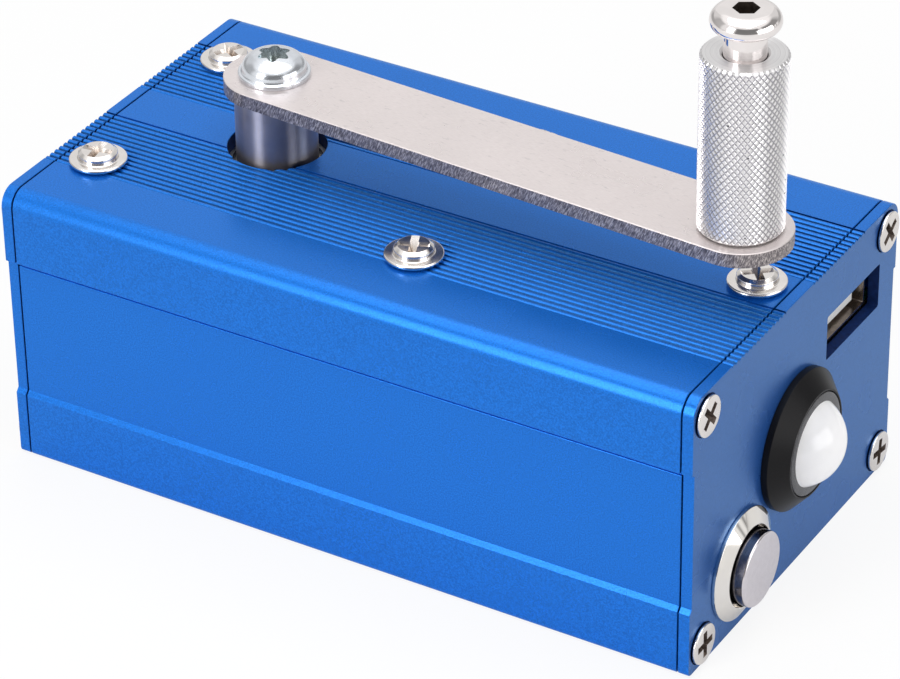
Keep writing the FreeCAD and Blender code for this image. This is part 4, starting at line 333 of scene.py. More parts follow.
def lathe(profile, around=PLAIN_ROUND, closed=False):
    """Mesh turned about Z from (radius, height) points."""
    bm = bmesh.new()
    rings = []
    for radius, height in profile:
        sides = 1 if radius < ON_AXIS else around
        rings.append([bm.verts.new((*polar(radius, TURN * i / sides), height)) for i in range(sides)])
    bridge(bm, *rings, *rings[:int(closed)])
    return bm


def drum(radius, low, high, around=PLAIN_ROUND):
    """Cylinder from height to height."""
    return lathe([(0, low), (radius, low), (radius, high), (0, high)], around)


def stack(outline, levels):
    """Solid with one outline, drawn in by each level's inset, from level to level."""
    bm = bmesh.new()
    outline = [Vector(point) for point in outline]
    rings = []
    for height, inset in levels:
        rings.append([bm.verts.new((*point, height)) for point in drawn_in(outline, inset)])
    bridge(bm, *rings)
    bm.faces.new(rings[0][::-1])
    bm.faces.new(rings[-1])
    return bm


def eased_levels(low, high, edge):
    """Levels of a solid with both its edges broken."""
    return [(low, edge), (low + edge, 0.0), (high - edge, 0.0), (high, edge)]


def rectangle(x0, x1, y0, y1, corner):
    """Anticlockwise rectangle with round corners."""
    return eased([(x0, y0), (x1, y0), (x1, y1), (x0, y1)], corner, closed=True, steps=6)


def loose_object(name, bm):
    """Object in the scene, made from a mesh that is used up."""
    bmesh.ops.recalc_face_normals(bm, faces=bm.faces)
    mesh = bpy.data.meshes.new(name)
    bm.to_mesh(mesh)
    bm.free()
    made = bpy.data.objects.new(name, mesh)
    bpy.context.scene.collection.objects.link(made)
    return made


def carved(blank, cutters):
    """Mesh with other closed meshes cut out of it."""
    base = loose_object("blank", blank)
    tools = [loose_object("cutter", cutter) for cutter in cutters]
    for tool in tools:
        cut = base.modifiers.new("Cut", "BOOLEAN")
        cut.operation, cut.solver, cut.object = "DIFFERENCE", "EXACT", tool
    shaped = base.evaluated_get(bpy.context.evaluated_depsgraph_get())
    result = bmesh.new()
    result.from_mesh(shaped.to_mesh())
    shaped.to_mesh_clear()
    for used in [base] + tools:
        bpy.data.meshes.remove(used.data)
    if not result.faces:
        raise RuntimeError("A cut left nothing of its piece")
    return result


def joined(meshes):
    """One mesh made of several."""
    result = bmesh.new()
    for bm in meshes:
        part = bpy.data.meshes.new("part")
        bmesh.ops.recalc_face_normals(bm, faces=bm.faces)
        bm.to_mesh(part)
        bm.free()
        result.from_mesh(part)
        bpy.data.meshes.remove(part)
    return result


def moved(bm, matrix):
    """Mesh moved by a matrix."""
    bm.transform(matrix)
    return bm


def at(x, y, z=0.0):
    """Matrix that moves to a place."""
    return Matrix.Translation((x, y, z))


def shifted(bm, x, y, z=0.0):
    """Mesh moved to a place."""
    return moved(bm, at(x, y, z))


def outward(side, x, y, z):
    """Matrix that turns local Z out of the end plate on one side, with local Y up."""
    return Matrix(((0, 0, side, x), (side, 0, 0, y), (0, 1, 0, z), (0, 0, 0, 1)))


def piece(name, bm, material, body, nodes, place=Matrix(), crease=33):
    """Finished piece: smooth but for its creases, in its place, riding on its body for its nodes."""
    made = loose_object(name, bm)
    made.data.shade_smooth()
    made.data.set_sharp_from_angle(angle=math.radians(crease))
    made.data.materials.append(material)
    made.matrix_world = place
    weighted = made.modifiers.new("Weighted normals", "WEIGHTED_NORMAL")
    weighted.keep_sharp = True
    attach(made, body)
    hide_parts(*nodes)
    return made


def second_finish(made, material, chosen):
    """Another finish on the faces that a test of their centre and normal picks."""
    made.data.materials.append(material)
    for polygon in made.data.polygons:
        if chosen(polygon.center, polygon.normal):
            polygon.material_index = len(made.data.materials) - 1


# ======================================================================
# Materials: sizes of grain and heights of relief in millimetres
# ======================================================================

def fill(node, inputs):
    """Sockets of a node, each linked to another node's output or set to a value."""
    for socket, value in inputs.items():
        if isinstance(value, bpy.types.NodeSocket):
            node.id_data.links.new(value, node.inputs[socket])
        else:
            node.inputs[socket].default_value = value


def add(tree, kind, inputs=None, **settings):
    """Shader node with its settings and its sockets filled."""
    node = tree.nodes.new("ShaderNode" + kind)
    for name, value in settings.items():
        setattr(node, name, value)
    fill(node, inputs or {})
    return node


def blank_material(name):
    """New material and its object coordinates."""
    material = bpy.data.materials.new(name)
    material.use_nodes = True
    return material, add(material.node_tree, "TexCoord").outputs["Object"]


def dressed(material, inputs):
    """Material with its shader's sockets filled."""
    fill(material.node_tree.nodes["Principled BSDF"], inputs)
    return material


def grain(place, size, stretch=(1, 1, 1), detail=3.0, roughness=0.5, lean=0.0):
    """Cloudy pattern with features of about a size in millimetres, leaning about Y by an angle in degrees."""
    scale, turn = [size * MM / share for share in stretch], (0, math.radians(lean), 0)
    scaled = add(
        place.id_data, "Mapping", {"Vector": place, "Scale": scale, "Rotation": turn}, vector_type="TEXTURE")
    return add(place.id_data, "TexNoise", {
        "Vector": scaled.outputs["Vector"], "Scale": 1.0, "Detail": detail, "Roughness": roughness,
    }).outputs["Fac"]


def tones(pattern, *stops):
    """Colours over a pattern, from (position, colour) stops."""
    ramp = add(pattern.id_data, "ValToRGB", {"Fac": pattern})
    elements = ramp.color_ramp.elements
    elements.remove(elements[1])
    elements[0].position = stops[0][0]
    elements[0].color = (*stops[0][1], 1.0)
    for position, shade in stops[1:]:
        elements.new(position).color = (*shade, 1.0)
    return ramp.outputs["Color"]


def two_tones(pattern, dark, light):
    """Dark and light colour over a cloudy pattern."""
    return tones(pattern, (0.3, dark), (0.7, light))


def spread(pattern, low, high, start=0.3, end=0.7):
    """Pattern spread between two values."""
    return add(pattern.id_data, "MapRange", {
        "Value": pattern, "From Min": start, "From Max": end, "To Min": low, "To Max": high,
    }).outputs["Result"]


def computed(operation, *values):
    """Result of a calculation on one or two outputs."""
    return add(values[0].id_data, "Math", dict(enumerate(values)), operation=operation).outputs[0]


def blend(share, first, second):
    """Two colours mixed by a share."""
    ends = [(*shade, 1.0) if isinstance(shade, tuple) else shade for shade in (first, second)]
    mixed = {0: share, 6: ends[0], 7: ends[1]}
    return add(share.id_data, "Mix", mixed, data_type="RGBA", blend_type="MIX").outputs[2]


def relief(pattern, height, strength=1.0, below=None):
    """Bump of a height in millimetres, over another bump where one is given."""
    inputs = {"Height": pattern, "Strength": strength, "Distance": height * MM}
    if below is not None:
        inputs["Normal"] = below
    return add(pattern.id_data, "Bump", inputs).outputs["Normal"]


def from_axis(place):
    """Distance from the piece's own Z axis."""
    flat = add(place.id_data, "VectorMath", {0: place, 1: (1, 1, 0)}, operation="MULTIPLY").outputs[0]
    return add(place.id_data, "VectorMath", {0: flat}, operation="LENGTH").outputs["Value"]


def turning_rings(radius, size):
    """Fine rings round the Z axis, as a lathe leaves them."""
    return grain(add(radius.id_data, "CombineXYZ", {"X": radius}).outputs["Vector"], size, detail=2.0)


def facing_up(place):
    """Height of the surface's normal, from -1 facing down to 1 facing up."""
    return add(place.id_data, "SeparateXYZ", {"Vector": place.node.outputs["Normal"]}).outputs["Z"]


def scaled_colour(shade, factor):
    """Colour made lighter or darker."""
    return tuple(min(1.0, channel * factor) for channel in shade)


def finish(name, light, dark, size, gloss, height, metallic=0.0, stretch=(1, 1, 1)):
    """Two-tone surface with uneven gloss and a slight relief; grain and relief in millimetres."""
    material, place = blank_material(name)
    pattern = grain(place, size, stretch)
    return dressed(material, {
        "Base Color": two_tones(pattern, dark, light), "Metallic": metallic,
        "Roughness": spread(grain(place, 12 * size, stretch), *gloss), "Normal": relief(pattern, height),
    })


def anodised(name, blue, contrast=0.19, haze=0.16, height=0.010):
    """Blasted and dyed aluminium: fine grain and soft clouds, half matt, under a thin clear layer."""
    material, place = blank_material(name)
    fine = grain(place, 0.2, detail=1.0)
    return dressed(material, {
        "Base Color": two_tones(fine, scaled_colour(blue, 1 - contrast), scaled_colour(blue, 1 + contrast)),
        "Roughness": spread(grain(place, 9), 0.24, 0.29), "Metallic": 0.36, "Specular IOR Level": 0.4,
        "Specular Tint": (0.12, 0.80, 1.0, 1.0), "Coat Weight": haze, "Coat Roughness": 0.25,
        "Normal": relief(fine, height, 0.8),
    })


def painted_shade_walls(name, blue):
    """Painted shade: dull dark colour for the walls deep in an opening, standing in for the shade there."""
    material, place = blank_material(name)
    cloud = grain(place, 0.6)
    return dressed(material, {
        "Base Color": two_tones(cloud, scaled_colour(blue, 0.7), scaled_colour(blue, 1.3)),
        "Roughness": spread(cloud, 0.55, 0.65), "Specular IOR Level": 0.12,
    })


def plated(name, light, dark, recess_top, recess_depth, gloss=(0.15, 0.22), recess_shade=(0.07, 0.05, 0.042)):
    """Bright plated screw with faint turning rings and painted shade in its recess, darker by local depth."""
    material, place = blank_material(name)
    radius, cloud = from_axis(place), grain(place, 2.2)
    height = add(place.id_data, "SeparateXYZ", {"Vector": place}).outputs["Z"]
    # Painted shade: deep in the recess near the axis the colour turns to the recess shade.
    deep = spread(height, 1, 0, recess_top - recess_depth, recess_top - 0.25 * recess_depth)
    central = spread(radius, 1, 0, 2.2 * MM, 2.5 * MM)
    return dressed(material, {
        "Base Color": blend(computed("MULTIPLY", deep, central), two_tones(cloud, dark, light), recess_shade),
        "Roughness": spread(cloud, *gloss), "Metallic": 1.0,
        "Normal": relief(turning_rings(radius, 0.12), 0.002, 0.4),
    })


def arm_steel():
    """Ground steel bar: pale, faintly scuffed face and striated sides, dark partly from the sheared steel and
    partly from painted shade.
    """
    material, place = blank_material("arm_steel")
    ground = grain(place, 0.10, (0.12, 1, 1))
    scuff = grain(place, 0.9, (0.5, 1.3, 1), detail=6.0, roughness=0.7)
    sheared = grain(place, 0.17, (1, 1, 0.2), detail=4.0, roughness=0.7, lean=24)
    face = tones(ground, (0.25, (0.74, 0.67, 0.66)), (0.75, (0.86, 0.79, 0.78)))
    face = blend(spread(scuff, 0.0, 0.6, 0.58, 0.72), face, (0.44, 0.41, 0.42))
    # Painted shade in part: the sides' tones are darker than bare sheared steel, standing in for the shade on
    # the upright faces.
    side = tones(
        sheared, (0.34, (0.065, 0.056, 0.064)), (0.5, (0.22, 0.195, 0.205)), (0.66, (0.64, 0.58, 0.56)))
    # Faces turned away from up take the side tones.
    upright = spread(facing_up(place), 1, 0, 0.2, 0.5)
    return dressed(material, {
        "Base Color": blend(upright, face, side), "Roughness": spread(grain(place, 6), 0.26, 0.36),
        "Metallic": spread(upright, 0.5, 0.4, 0, 1),
        "Normal": relief(sheared, 0.02, 0.4, relief(ground, 0.006, 0.5)),
    })


def turned_metal(material, lines, base, gloss, stretch, strength):
    """Metal that glints across the lines of its turning."""
    tangent = add(lines.id_data, "Tangent", direction_type="RADIAL", axis="Z").outputs["Tangent"]
    return dressed(material, {
        "Base Color": base, "Roughness": spread(lines, *gloss), "Metallic": 1.0, "Anisotropic": stretch,
        "Anisotropic Rotation": 0.25, "Tangent": tangent, "Normal": relief(lines, 0.004, strength),
    })


def hub_steel():
    """Dark steel with fine turning lines round it, so that its glints stretch upright."""
    material, place = blank_material("hub_steel")
    base = two_tones(grain(place, 2.5), (0.36, 0.335, 0.36), (0.44, 0.41, 0.44))
    return turned_metal(material, grain(place, 0.12, (0.02, 0.02, 1)), base, (0.33, 0.40), 0.92, 0.6)


def turned_end():
    """Lathe-turned end face, with glints that fan out from the middle."""
    material, place = blank_material("turned_end")
    lines = turning_rings(from_axis(place), 0.14)
    base = two_tones(lines, (0.68, 0.665, 0.67), (0.90, 0.89, 0.89))
    return turned_metal(material, lines, base, (0.34, 0.42), 0.85, 0.5)


def knurled_aluminium(outer, depth):
    """Bright cut aluminium, painted darker in its grooves as shade, with a few dark pits."""
    material, place = blank_material("knurled_aluminium")
    fine = grain(place, 0.15, detail=4.0)
    # Painted shade: the colour darkens towards the floors of the grooves, by distance from the axis.
    groove = spread(from_axis(place), 1, 0, outer - 0.85 * depth, outer - 0.25 * depth)
    cells = add(place.id_data, "TexVoronoi", {"Vector": place, "Scale": 1 / (0.75 * MM)}).outputs
    chance = add(place.id_data, "SeparateColor", {"Color": cells["Color"]}).outputs[0]
    pit = computed("MULTIPLY", spread(cells["Distance"], 1, 0, 0.16, 0.24), spread(chance, 0, 1, 0.93, 0.94))
    bright = blend(groove, two_tones(fine, (0.80, 0.785, 0.79), (0.93, 0.915, 0.915)), (0.58, 0.57, 0.60))
    return dressed(material, {
        "Base Color": blend(pit, bright, (0.05, 0.05, 0.06)), "Roughness": spread(fine, 0.26, 0.40),
        "Metallic": 1.0, "Normal": relief(fine, 0.006, 0.6),
    })


def lens_dome():
    """Frosted clear dome with a few scratches and a faint painted glow."""
    material, place = blank_material("lens_dome")
    scratches = grain(place, 0.35, (1, 0.25, 1), detail=6.0, roughness=0.75)
    return dressed(material, {
        "Base Color": two_tones(grain(place, 3), (0.96, 0.955, 0.965), (0.99, 0.985, 0.99)),
        "Roughness": spread(scratches, 0.10, 0.30, 0.45, 0.7), "Transmission Weight": 0.04,
        "IOR": ACRYLIC_IOR, "Coat Weight": 0.3, "Coat Roughness": 0.05,
        # Painted light: a faint white glow that brightens the dome, though nothing in the lamp gives light.
        "Emission Color": (1.0, 0.98, 1.0, 1.0), "Emission Strength": 0.09,
        "Normal": relief(scratches, 0.01, 0.3),
    })


def lens_flange():
    """Clear flange of the lens over its black seat."""
    material, place = blank_material("lens_flange")
    cloud = grain(place, 0.9)
    return dressed(material, {
        "Base Color": two_tones(cloud, (0.035, 0.035, 0.040), (0.085, 0.085, 0.095)),
        "Roughness": spread(cloud, 0.04, 0.12), "Transmission Weight": 0.3, "IOR": ACRYLIC_IOR,
        "Normal": relief(cloud, 0.01, 0.4),
    })


def lamp_black():
    """Satin black moulding, slightly scuffed on its slope."""
    material, place = blank_material("lamp_black")
    fine = grain(place, 0.08)
    scuff = grain(place, 0.7, (1, 0.3, 1), detail=6.0, roughness=0.7)
    base = two_tones(fine, (0.006, 0.006, 0.007), (0.014, 0.013, 0.014))
    return dressed(material, {
        "Base Color": blend(spread(scuff, 0.0, 0.5, 0.66, 0.78), base, (0.06, 0.06, 0.06)),
        "Roughness": spread(fine, 0.30, 0.40), "Specular IOR Level": 0.14, "Normal": relief(fine, 0.004, 0.5),
    })


def board_green():
    """Circuit board: green mask over lighter tracks, with dull bare edges."""
    material, place = blank_material("board_green")
    tracks = add(place.id_data, "TexBrick", {
        "Vector": place, "Scale": 1 / (2.4 * MM), "Mortar Size": 0.05, "Color1": (0.012, 0.130, 0.045, 1),
        "Color2": (0.010, 0.105, 0.038, 1), "Mortar": (0.030, 0.230, 0.080, 1),
    }).outputs
    edge = spread(computed("ABSOLUTE", facing_up(place)), 1, 0, 0.4, 0.6)
    return dressed(material, {
        "Base Color": blend(edge, tracks["Color"], (0.020, 0.018, 0.012)),
        "Roughness": spread(grain(place, 0.5), 0.22, 0.34), "Normal": relief(tracks["Fac"], 0.03, 0.5),
    })


def copper_winding():
    """Enamelled copper wire, turn beside turn."""
    material, place = blank_material("copper_winding")
    wave = {"Vector": place, "Scale": 1 / (1.3 * MM), "Distortion": 1.0}
    turns = add(place.id_data, "TexWave", wave, bands_direction="Z").outputs["Fac"]
    return dressed(material, {
        "Base Color": tones(turns, (0.2, (0.30, 0.09, 0.03)), (0.8, (0.85, 0.38, 0.18))),
        "Roughness": spread(turns, 0.35, 0.22), "Metallic": 1.0, "Normal": relief(turns, 0.08),
    })


# Inner parts: slot, name, light tone, dark tone, grain, least and most roughness, relief, metallic, stretch.
INNER_FINISHES = (
    ("bracket_steel", "", (0.62, 0.62, 0.60), (0.44, 0.44, 0.44), 1.2, (0.3, 0.5), 0.01, 1.0),
    ("gearbox_aluminium", "", (0.80,) * 3, (0.66, 0.66, 0.67), 0.3, (0.28, 0.4), 0.006, 1.0, (1, 0.1, 1)),
    # Painted shade: bearing_steel is much darker than bare bearing steel, so the bearing seen deep in the
    # crank hole looks shaded.
    ("bearing_steel", "", (0.30, 0.29, 0.285), (0.20, 0.195, 0.19), 0.3, (0.2, 0.3), 0.002, 1.0),
    ("spring_steel", "", (0.46, 0.46, 0.48), (0.30, 0.30, 0.32), 0.2, (0.2, 0.34), 0.004, 1.0),
    ("bronze", "", (0.66, 0.42, 0.20), (0.48, 0.28, 0.12), 0.15, (0.3, 0.45), 0.006, 1.0),
    ("gear_brass", "", (0.83, 0.62, 0.26), (0.66, 0.47, 0.17), 0.2, (0.2, 0.34), 0.004, 1.0),
    ("pinion_steel", "", (0.56, 0.56, 0.57), (0.40, 0.40, 0.42), 0.2, (0.2, 0.32), 0.004, 1.0),
    ("can_steel", "", (0.66, 0.66, 0.68), (0.52, 0.52, 0.55), 0.6, (0.2, 0.32), 0.004, 1.0),
    ("laminated_steel", "", (0.42, 0.42, 0.44), (0.14, 0.14, 0.15), 0.5, (0.35, 0.5), 0.05, 1.0,
     (0.01, 0.01, 1)),
    ("contact_brass", "", (0.86, 0.66, 0.28), (0.74, 0.54, 0.20), 0.2, (0.15, 0.25), 0.002, 1.0),
    ("zinc_screw", "", (0.78, 0.79, 0.82), (0.62, 0.63, 0.66), 0.3, (0.2, 0.3), 0.004, 1.0),
    ("hub_steel", "shaft_steel", (0.66, 0.66, 0.67), (0.52, 0.52, 0.54), 0.2, (0.15, 0.25), 0.003, 1.0),
    ("ferrite", "", (0.075, 0.073, 0.075), (0.035, 0.034, 0.036), 0.15, (0.45, 0.6), 0.01),
    ("cap_plastic", "", (0.050, 0.050, 0.052), (0.025, 0.025, 0.027), 0.1, (0.4, 0.5), 0.005),
    ("brush_metal", "", (0.10, 0.095, 0.09), (0.05, 0.048, 0.046), 0.1, (0.5, 0.65), 0.008),
    ("block_plastic", "", (0.055, 0.055, 0.057), (0.03, 0.03, 0.032), 0.1, (0.4, 0.5), 0.005),
    ("capacitor_sleeve", "", (0.030, 0.045, 0.11), (0.018, 0.028, 0.075), 1.0, (0.2, 0.3), 0.01),
    ("chip_black", "", (0.045, 0.045, 0.047), (0.022, 0.022, 0.024), 0.08, (0.4, 0.55), 0.006),
    ("plug_white", "", (0.80, 0.79, 0.74), (0.70, 0.69, 0.64), 0.3, (0.35, 0.45), 0.004),
    ("red_insulation", "", (0.55, 0.030, 0.022), (0.40, 0.018, 0.014), 0.5, (0.3, 0.42), 0.006),
    ("black_insulation", "", (0.040, 0.040, 0.042), (0.020, 0.020, 0.022), 0.5, (0.3, 0.42), 0.006),
    ("lamp_black", "nut_black", (0.030, 0.030, 0.031), (0.015, 0.015, 0.016), 0.2, (0.35, 0.5), 0.006),
    ("button_chrome", "nut_chrome", (0.72, 0.72, 0.73), (0.60, 0.60, 0.62), 0.3, (0.15, 0.25), 0.004, 1.0),
)


def inner_finishes():
    """Finish of each of the record's slots that the inner parts use."""
    finishes = {slot: finish(name or slot, *look) for slot, name, *look in INNER_FINISHES}
    return {**finishes, "copper": copper_winding(), "board_green": board_green()}


# ======================================================================
# Case
# ======================================================================

def roof_line(case):
    """Half of the ribbed roof as (y, z), from the outer side's corner to the middle."""
    radius = case.top_radius
    band = case.rib_count * case.rib_pitch / 2
    valley = CASE_TOP - case.rib_depth
    rib_r = (case.rib_width ** 2 / 4 + case.rib_depth ** 2) / (2 * case.rib_depth)
    lean = math.degrees(math.acos((rib_r - case.rib_depth) / rib_r))
    outer, inner = case.rib_band + band, case.rib_band - band
    points = arc((HALF_W - radius, CASE_TOP - radius), radius, 0, 90, 10)
    points += [(outer, CASE_TOP), (outer, valley)]
    for i in range(case.rib_count):
        rib_y = outer - (i + 0.5) * case.rib_pitch
        points += arc((rib_y, CASE_TOP - rib_r), rib_r, 90 - lean, 90 + lean, 10)
    return points + [(inner, valley), (inner, CASE_TOP)]


def side_line(case):
    """Half of the lower outline as (y, z), from the floor up to the split."""
    foot, recessed = case.foot_radius, HALF_W - case.recess
    points = arc((HALF_W - foot, foot), foot, -90, 0, 8)
    points += [(HALF_W, case.band_height - case.band_chamfer), (recessed, case.band_height)]
    return points + [(recessed, SPLIT_Z - case.seam)]


def mirrored(points):
    """The same points on the other side, in the opposite order."""
    return [(-across, up) for across, up in reversed(points)]


def upper_section(case):
    """Closed outline of the upper shell."""
    side = eased([(HALF_W - 2 * case.wall, SPLIT_Z), (HALF_W, SPLIT_Z), (HALF_W, CASE_TOP)], case.edge)[1:-1]
    outer = side + roof_line(case)
    inner_y, ceiling = HALF_W - case.wall, CASE_TOP - case.roof
    inner = [(-inner_y, SPLIT_Z), (-inner_y, ceiling), (inner_y, ceiling), (inner_y, SPLIT_Z)]
    return outer + mirrored(outer) + inner


def lower_section(case):
    """Closed outline of the lower shell, notched along its upper edge."""
    *side, (recessed, top) = side_line(case)
    notch_y, notch_z = recessed - case.notch_depth, SPLIT_Z - case.notch
    side = eased(side + [(recessed, notch_z), (notch_y, notch_z), (notch_y, top)], case.edge)
    inner_y = HALF_W - case.wall
    inner = [(inner_y, top), (inner_y, case.wall), (-inner_y, case.wall), (-inner_y, top)]
    return side + inner + mirrored(side)


def plate_section(case):
    """Closed outline of an end plate."""
    corner = [(HALF_W - case.recess, SPLIT_Z), (HALF_W, SPLIT_Z), (HALF_W, CASE_TOP)]
    side = eased(side_line(case)[:-1] + corner, case.edge)[:-1] + roof_line(case)
    return side + mirrored(side)


def extruded(section, low, high, case):
    """Shell of a section along X, short of the end plates by the seam."""
    levels = eased_levels(low.x + case.seam, high.x - case.seam, case.edge / 2)
    return moved(stack(section, levels), outward(1, 0, 0, 0))


def end_screw_spots(screws):
    """Side, y and z of the eight end plate screws."""
    y = HALF_W - screws.inset
    heights = (screws.inset, CASE_TOP - screws.inset)
    return [(side, sy, z) for side in (-1, 1) for sy in (-y, y) for z in heights]


def countersink(screws):
    """Cutter for an end screw's stepped seat."""
    ring, step, bottom = screws.head_radius + screws.ring, -screws.ring_step, -screws.shank_length
    return lathe([
        (0, bottom), (screws.shank, bottom), (screws.shank, -SEAT_DEPTH),
        (screws.head_radius - FIT_GAP, step), (ring, step), (ring, OVERCUT), (0, OVERCUT),
    ], SMALL_ROUND)


def in_a_valley(case, across, height):
    """Whether a face lies low between the ribs of the roof."""
    low = CASE_TOP - 1.05 * case.rib_depth < height < CASE_TOP - 0.5 * case.rib_depth
    return low and abs(across) < case.rib_band + case.rib_count * case.rib_pitch / 2 + case.edge


class GENERATOR_OT_upper_shell(Operator):
    """Build the ribbed upper shell with its hole for the crank"""
    bl_idname = "generator.upper_shell"
    bl_label = "Upper shell"

    def execute(self, context):
        case = context.scene.generator_case
        radius, edge, bottom = case.crank_hole, case.edge, CASE_TOP - 2 * case.roof
        hole = lathe([
            (0, bottom), (radius, bottom), (radius, CASE_TOP - edge / 2),
            (radius + 2.5 * edge, CASE_TOP + 2 * edge), (0, CASE_TOP + 2 * edge),
        ])
        shell = extruded(upper_section(case), SHELL_LOW, SHELL_HIGH, case)
        made = piece(
            "ribbed_upper_shell", carved(shell, [shifted(hole, CRANK_AXIS.x, CRANK_AXIS.y)]),
            anodised("anodised_blue", case.blue), "case", ["upper_shell"])
        # Painted shade: the faces low between the ribs get a darkened copy of the blue.
        second_finish(
            made, anodised("anodised_valleys", scaled_colour(case.blue, case.valley)),
            lambda centre, normal: in_a_valley(case, centre.y, centre.z))
        # Painted shade on the wall of the hole round the hub.
        second_finish(
            made, painted_shade_walls("shaded_hole", case.painted_shade_blue),
            lambda centre, normal: abs(normal.z) < 0.5 and (centre - CRANK_AXIS).xy.length < radius + edge)
        return {"FINISHED"}


class GENERATOR_OT_lower_shell(Operator):
    """Build the lower shell"""
    bl_idname = "generator.lower_shell"
    bl_label = "Lower shell"

    def execute(self, context):
        case = context.scene.generator_case
        piece(
            "stepped_lower_shell", extruded(lower_section(case), BASE_LOW, BASE_HIGH, case),
            anodised("anodised_blue_base", case.blue), "case", ["lower_shell"])
        return {"FINISHED"}


class GENERATOR_OT_end_plates(Operator):
    """Build the two end plates, one of them with the openings for the fittings"""
    bl_idname = "generator.end_plates"
    bl_label = "End plates"

    def execute(self, context):
        case, screws = context.scene.generator_case, context.scene.generator_screws
        # Painted shade: the plates' outer faces get a darker, greyer copy of the anodised blue; their edges
        # keep the shell's blue.
        face = anodised("anodised_end_plate", case.painted_shade_plate_blue, 0.10, 0.28, 0.004)
        rim = anodised("anodised_plate_edges", case.blue)
        # Painted shade: a darkened copy of the blue for the faces low between the ribs.
        valleys = anodised("anodised_plate_valleys", scaled_colour(case.blue, case.valley))
        # Painted shade for the walls of the openings and the countersink steps.
        shaded = painted_shade_walls("shaded_cut_walls", case.painted_shade_blue)
        for side, name in ((-1, "left_end_plate"), (1, "right_end_plate")):
            spots = [(side * y, z) for screw_side, y, z in end_screw_spots(screws) if screw_side == side]
            cutters = [shifted(countersink(screws), y, z, PLATE_T) for y, z in spots]
            if side > 0:
                cutters += self.openings(case, context.scene.generator_fittings)
            plate = stack(plate_section(case), eased_levels(0, PLATE_T, case.edge / 2))
            made = piece(
                name + "_panel", carved(plate, cutters), face, "case", [name],
                outward(side, side * PLATE_LOW.x, 0, 0))
            second_finish(made, rim, lambda centre, normal: abs(normal.z) < 0.9)
            # Faces low between the ribs get the painted shade.
            second_finish(made, valleys, lambda centre, normal: in_a_valley(case, centre.x, centre.y))
            # Walls and steps of the openings get the painted shade.
            second_finish(made, shaded, lambda centre, normal: self.in_an_opening(screws, centre))
        return {"FINISHED"}

    @staticmethod
    def in_an_opening(screws, centre):
        """Whether a face of a plate, in the plate's own axes, is a wall or a step of an opening."""
        beside = HALF_W - screws.inset - abs(centre.x)
        above = min(abs(centre.y - screws.inset), abs(CASE_TOP - screws.inset - centre.y))
        in_a_seat = math.hypot(beside, above) < screws.head_radius + screws.ring + NEAR
        inside = abs(centre.x) < HALF_W - MM and MM < centre.y < CASE_TOP - MM
        return centre.z < PLATE_T - NEAR and (in_a_seat or inside)

    @staticmethod
    def openings(case, fittings):
        """Cutters for the socket's window and the two round holes."""
        window = rectangle(
            SOCKET_LOW.y - case.window_side, SOCKET_HIGH.y + case.window_side,
            SOCKET_LOW.z - case.window_top, SOCKET_HIGH.z + case.window_top, case.window_corner)
        cutters = [stack(window, [(-OVERCUT, 0), (PLATE_T + OVERCUT, 0)])]
        for axis, radius in ((LAMP_AXIS, fittings.lamp_barrel), (BUTTON_AXIS, fittings.button_barrel)):
            cutters.append(shifted(drum(radius + FIT_GAP, -OVERCUT, PLATE_T + OVERCUT), axis.y, axis.z))
        return cutters


# ======================================================================
# Screws
# ======================================================================

# Cross recesses as shares of the head's radius: reach, half the width of a slot and depth.
END_CROSS = (0.68, 0.17, 0.5)
TOP_CROSS = (0.78, 0.2, 0.55)


def cross_cutter(turn, radius, top, cross, taper, over=0.2, tip=1.25):
    """Turned cross recess that narrows to a taper of its size at the floor, with a pointed tip.

    Over and tip are the shares of the depth by which it stands above the top and to which its tip goes.
    """
    reach, slot, depth = (share * radius for share in cross)
    corners = []
    for quarter in range(4):
        turned = Matrix.Rotation(quarter * math.pi / 2, 2)
        corners += [turned @ Vector(corner) for corner in ((reach, -slot), (reach, slot), (slot, slot))]
    bm = bmesh.new()
    rings = []
    for scale, height in ((taper, top - depth), (1 + (1 - taper) * over, top + over * depth)):
        rings.append([bm.verts.new((scale * x, scale * y, height)) for x, y in corners])
    bridge(bm, *rings)
    bridge(bm, [bm.verts.new((0, 0, top - tip * depth))], rings[0])
    bm.faces.new(rings[1])
    return moved(bm, Matrix.Rotation(turn, 4, "Z"))


def end_screw(screws, turn):
    """Countersunk screw with a slightly raised rim."""
    radius, top, bottom = screws.head_radius, screws.proud, -screws.shank_length
    profile = eased([
        (0, bottom), (screws.shank, bottom), (screws.shank, -screws.cone),
        (radius, top - screws.rim), (radius, top), (0, top),
    ], 0.14 * MM, steps=4)
    return carved(lathe(profile, SMALL_ROUND), [cross_cutter(turn, radius, top, END_CROSS, 0.55)])


def in_a_recess(centre, top, radius):
    """Whether a face of a screw lies in its cross recess."""
    return centre.xy.length < 0.75 * radius and top - 0.6 * radius < centre.z < top - 0.04 * MM


def top_screw(screws, turn):
    """Washer-head screw: a lifted flange under a low dome."""
    lift, rise = screws.flange_lift, screws.flange_lift + screws.flange_thick
    radius, top = screws.dome, screws.dome_height
    profile = eased([
        (0, 0), (screws.flange_seat, 0), (screws.flange, lift), (screws.flange, rise),
        (radius, rise), (radius, rise + screws.dome_rim), (0.8 * radius, top), (0, top),
    ], 0.2 * MM, steps=5)
    return carved(lathe(profile, SCREW_ROUND), [cross_cutter(turn, radius, top, TOP_CROSS, 0.35)])


def top_screw_spots(screws):
    """Centres of the top screws: over the four pillars and over the end bracket."""
    xs = (PILLAR_LOW.x + screws.pillar, PILLAR_HIGH.x - screws.pillar)
    ys = (PILLAR_LOW.y + screws.pillar, PILLAR_HIGH.y - screws.pillar)
    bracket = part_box("top_flange_screws")[1].x - screws.flange
    return [(x, y) for x in xs for y in ys] + [(bracket, 0.0)]


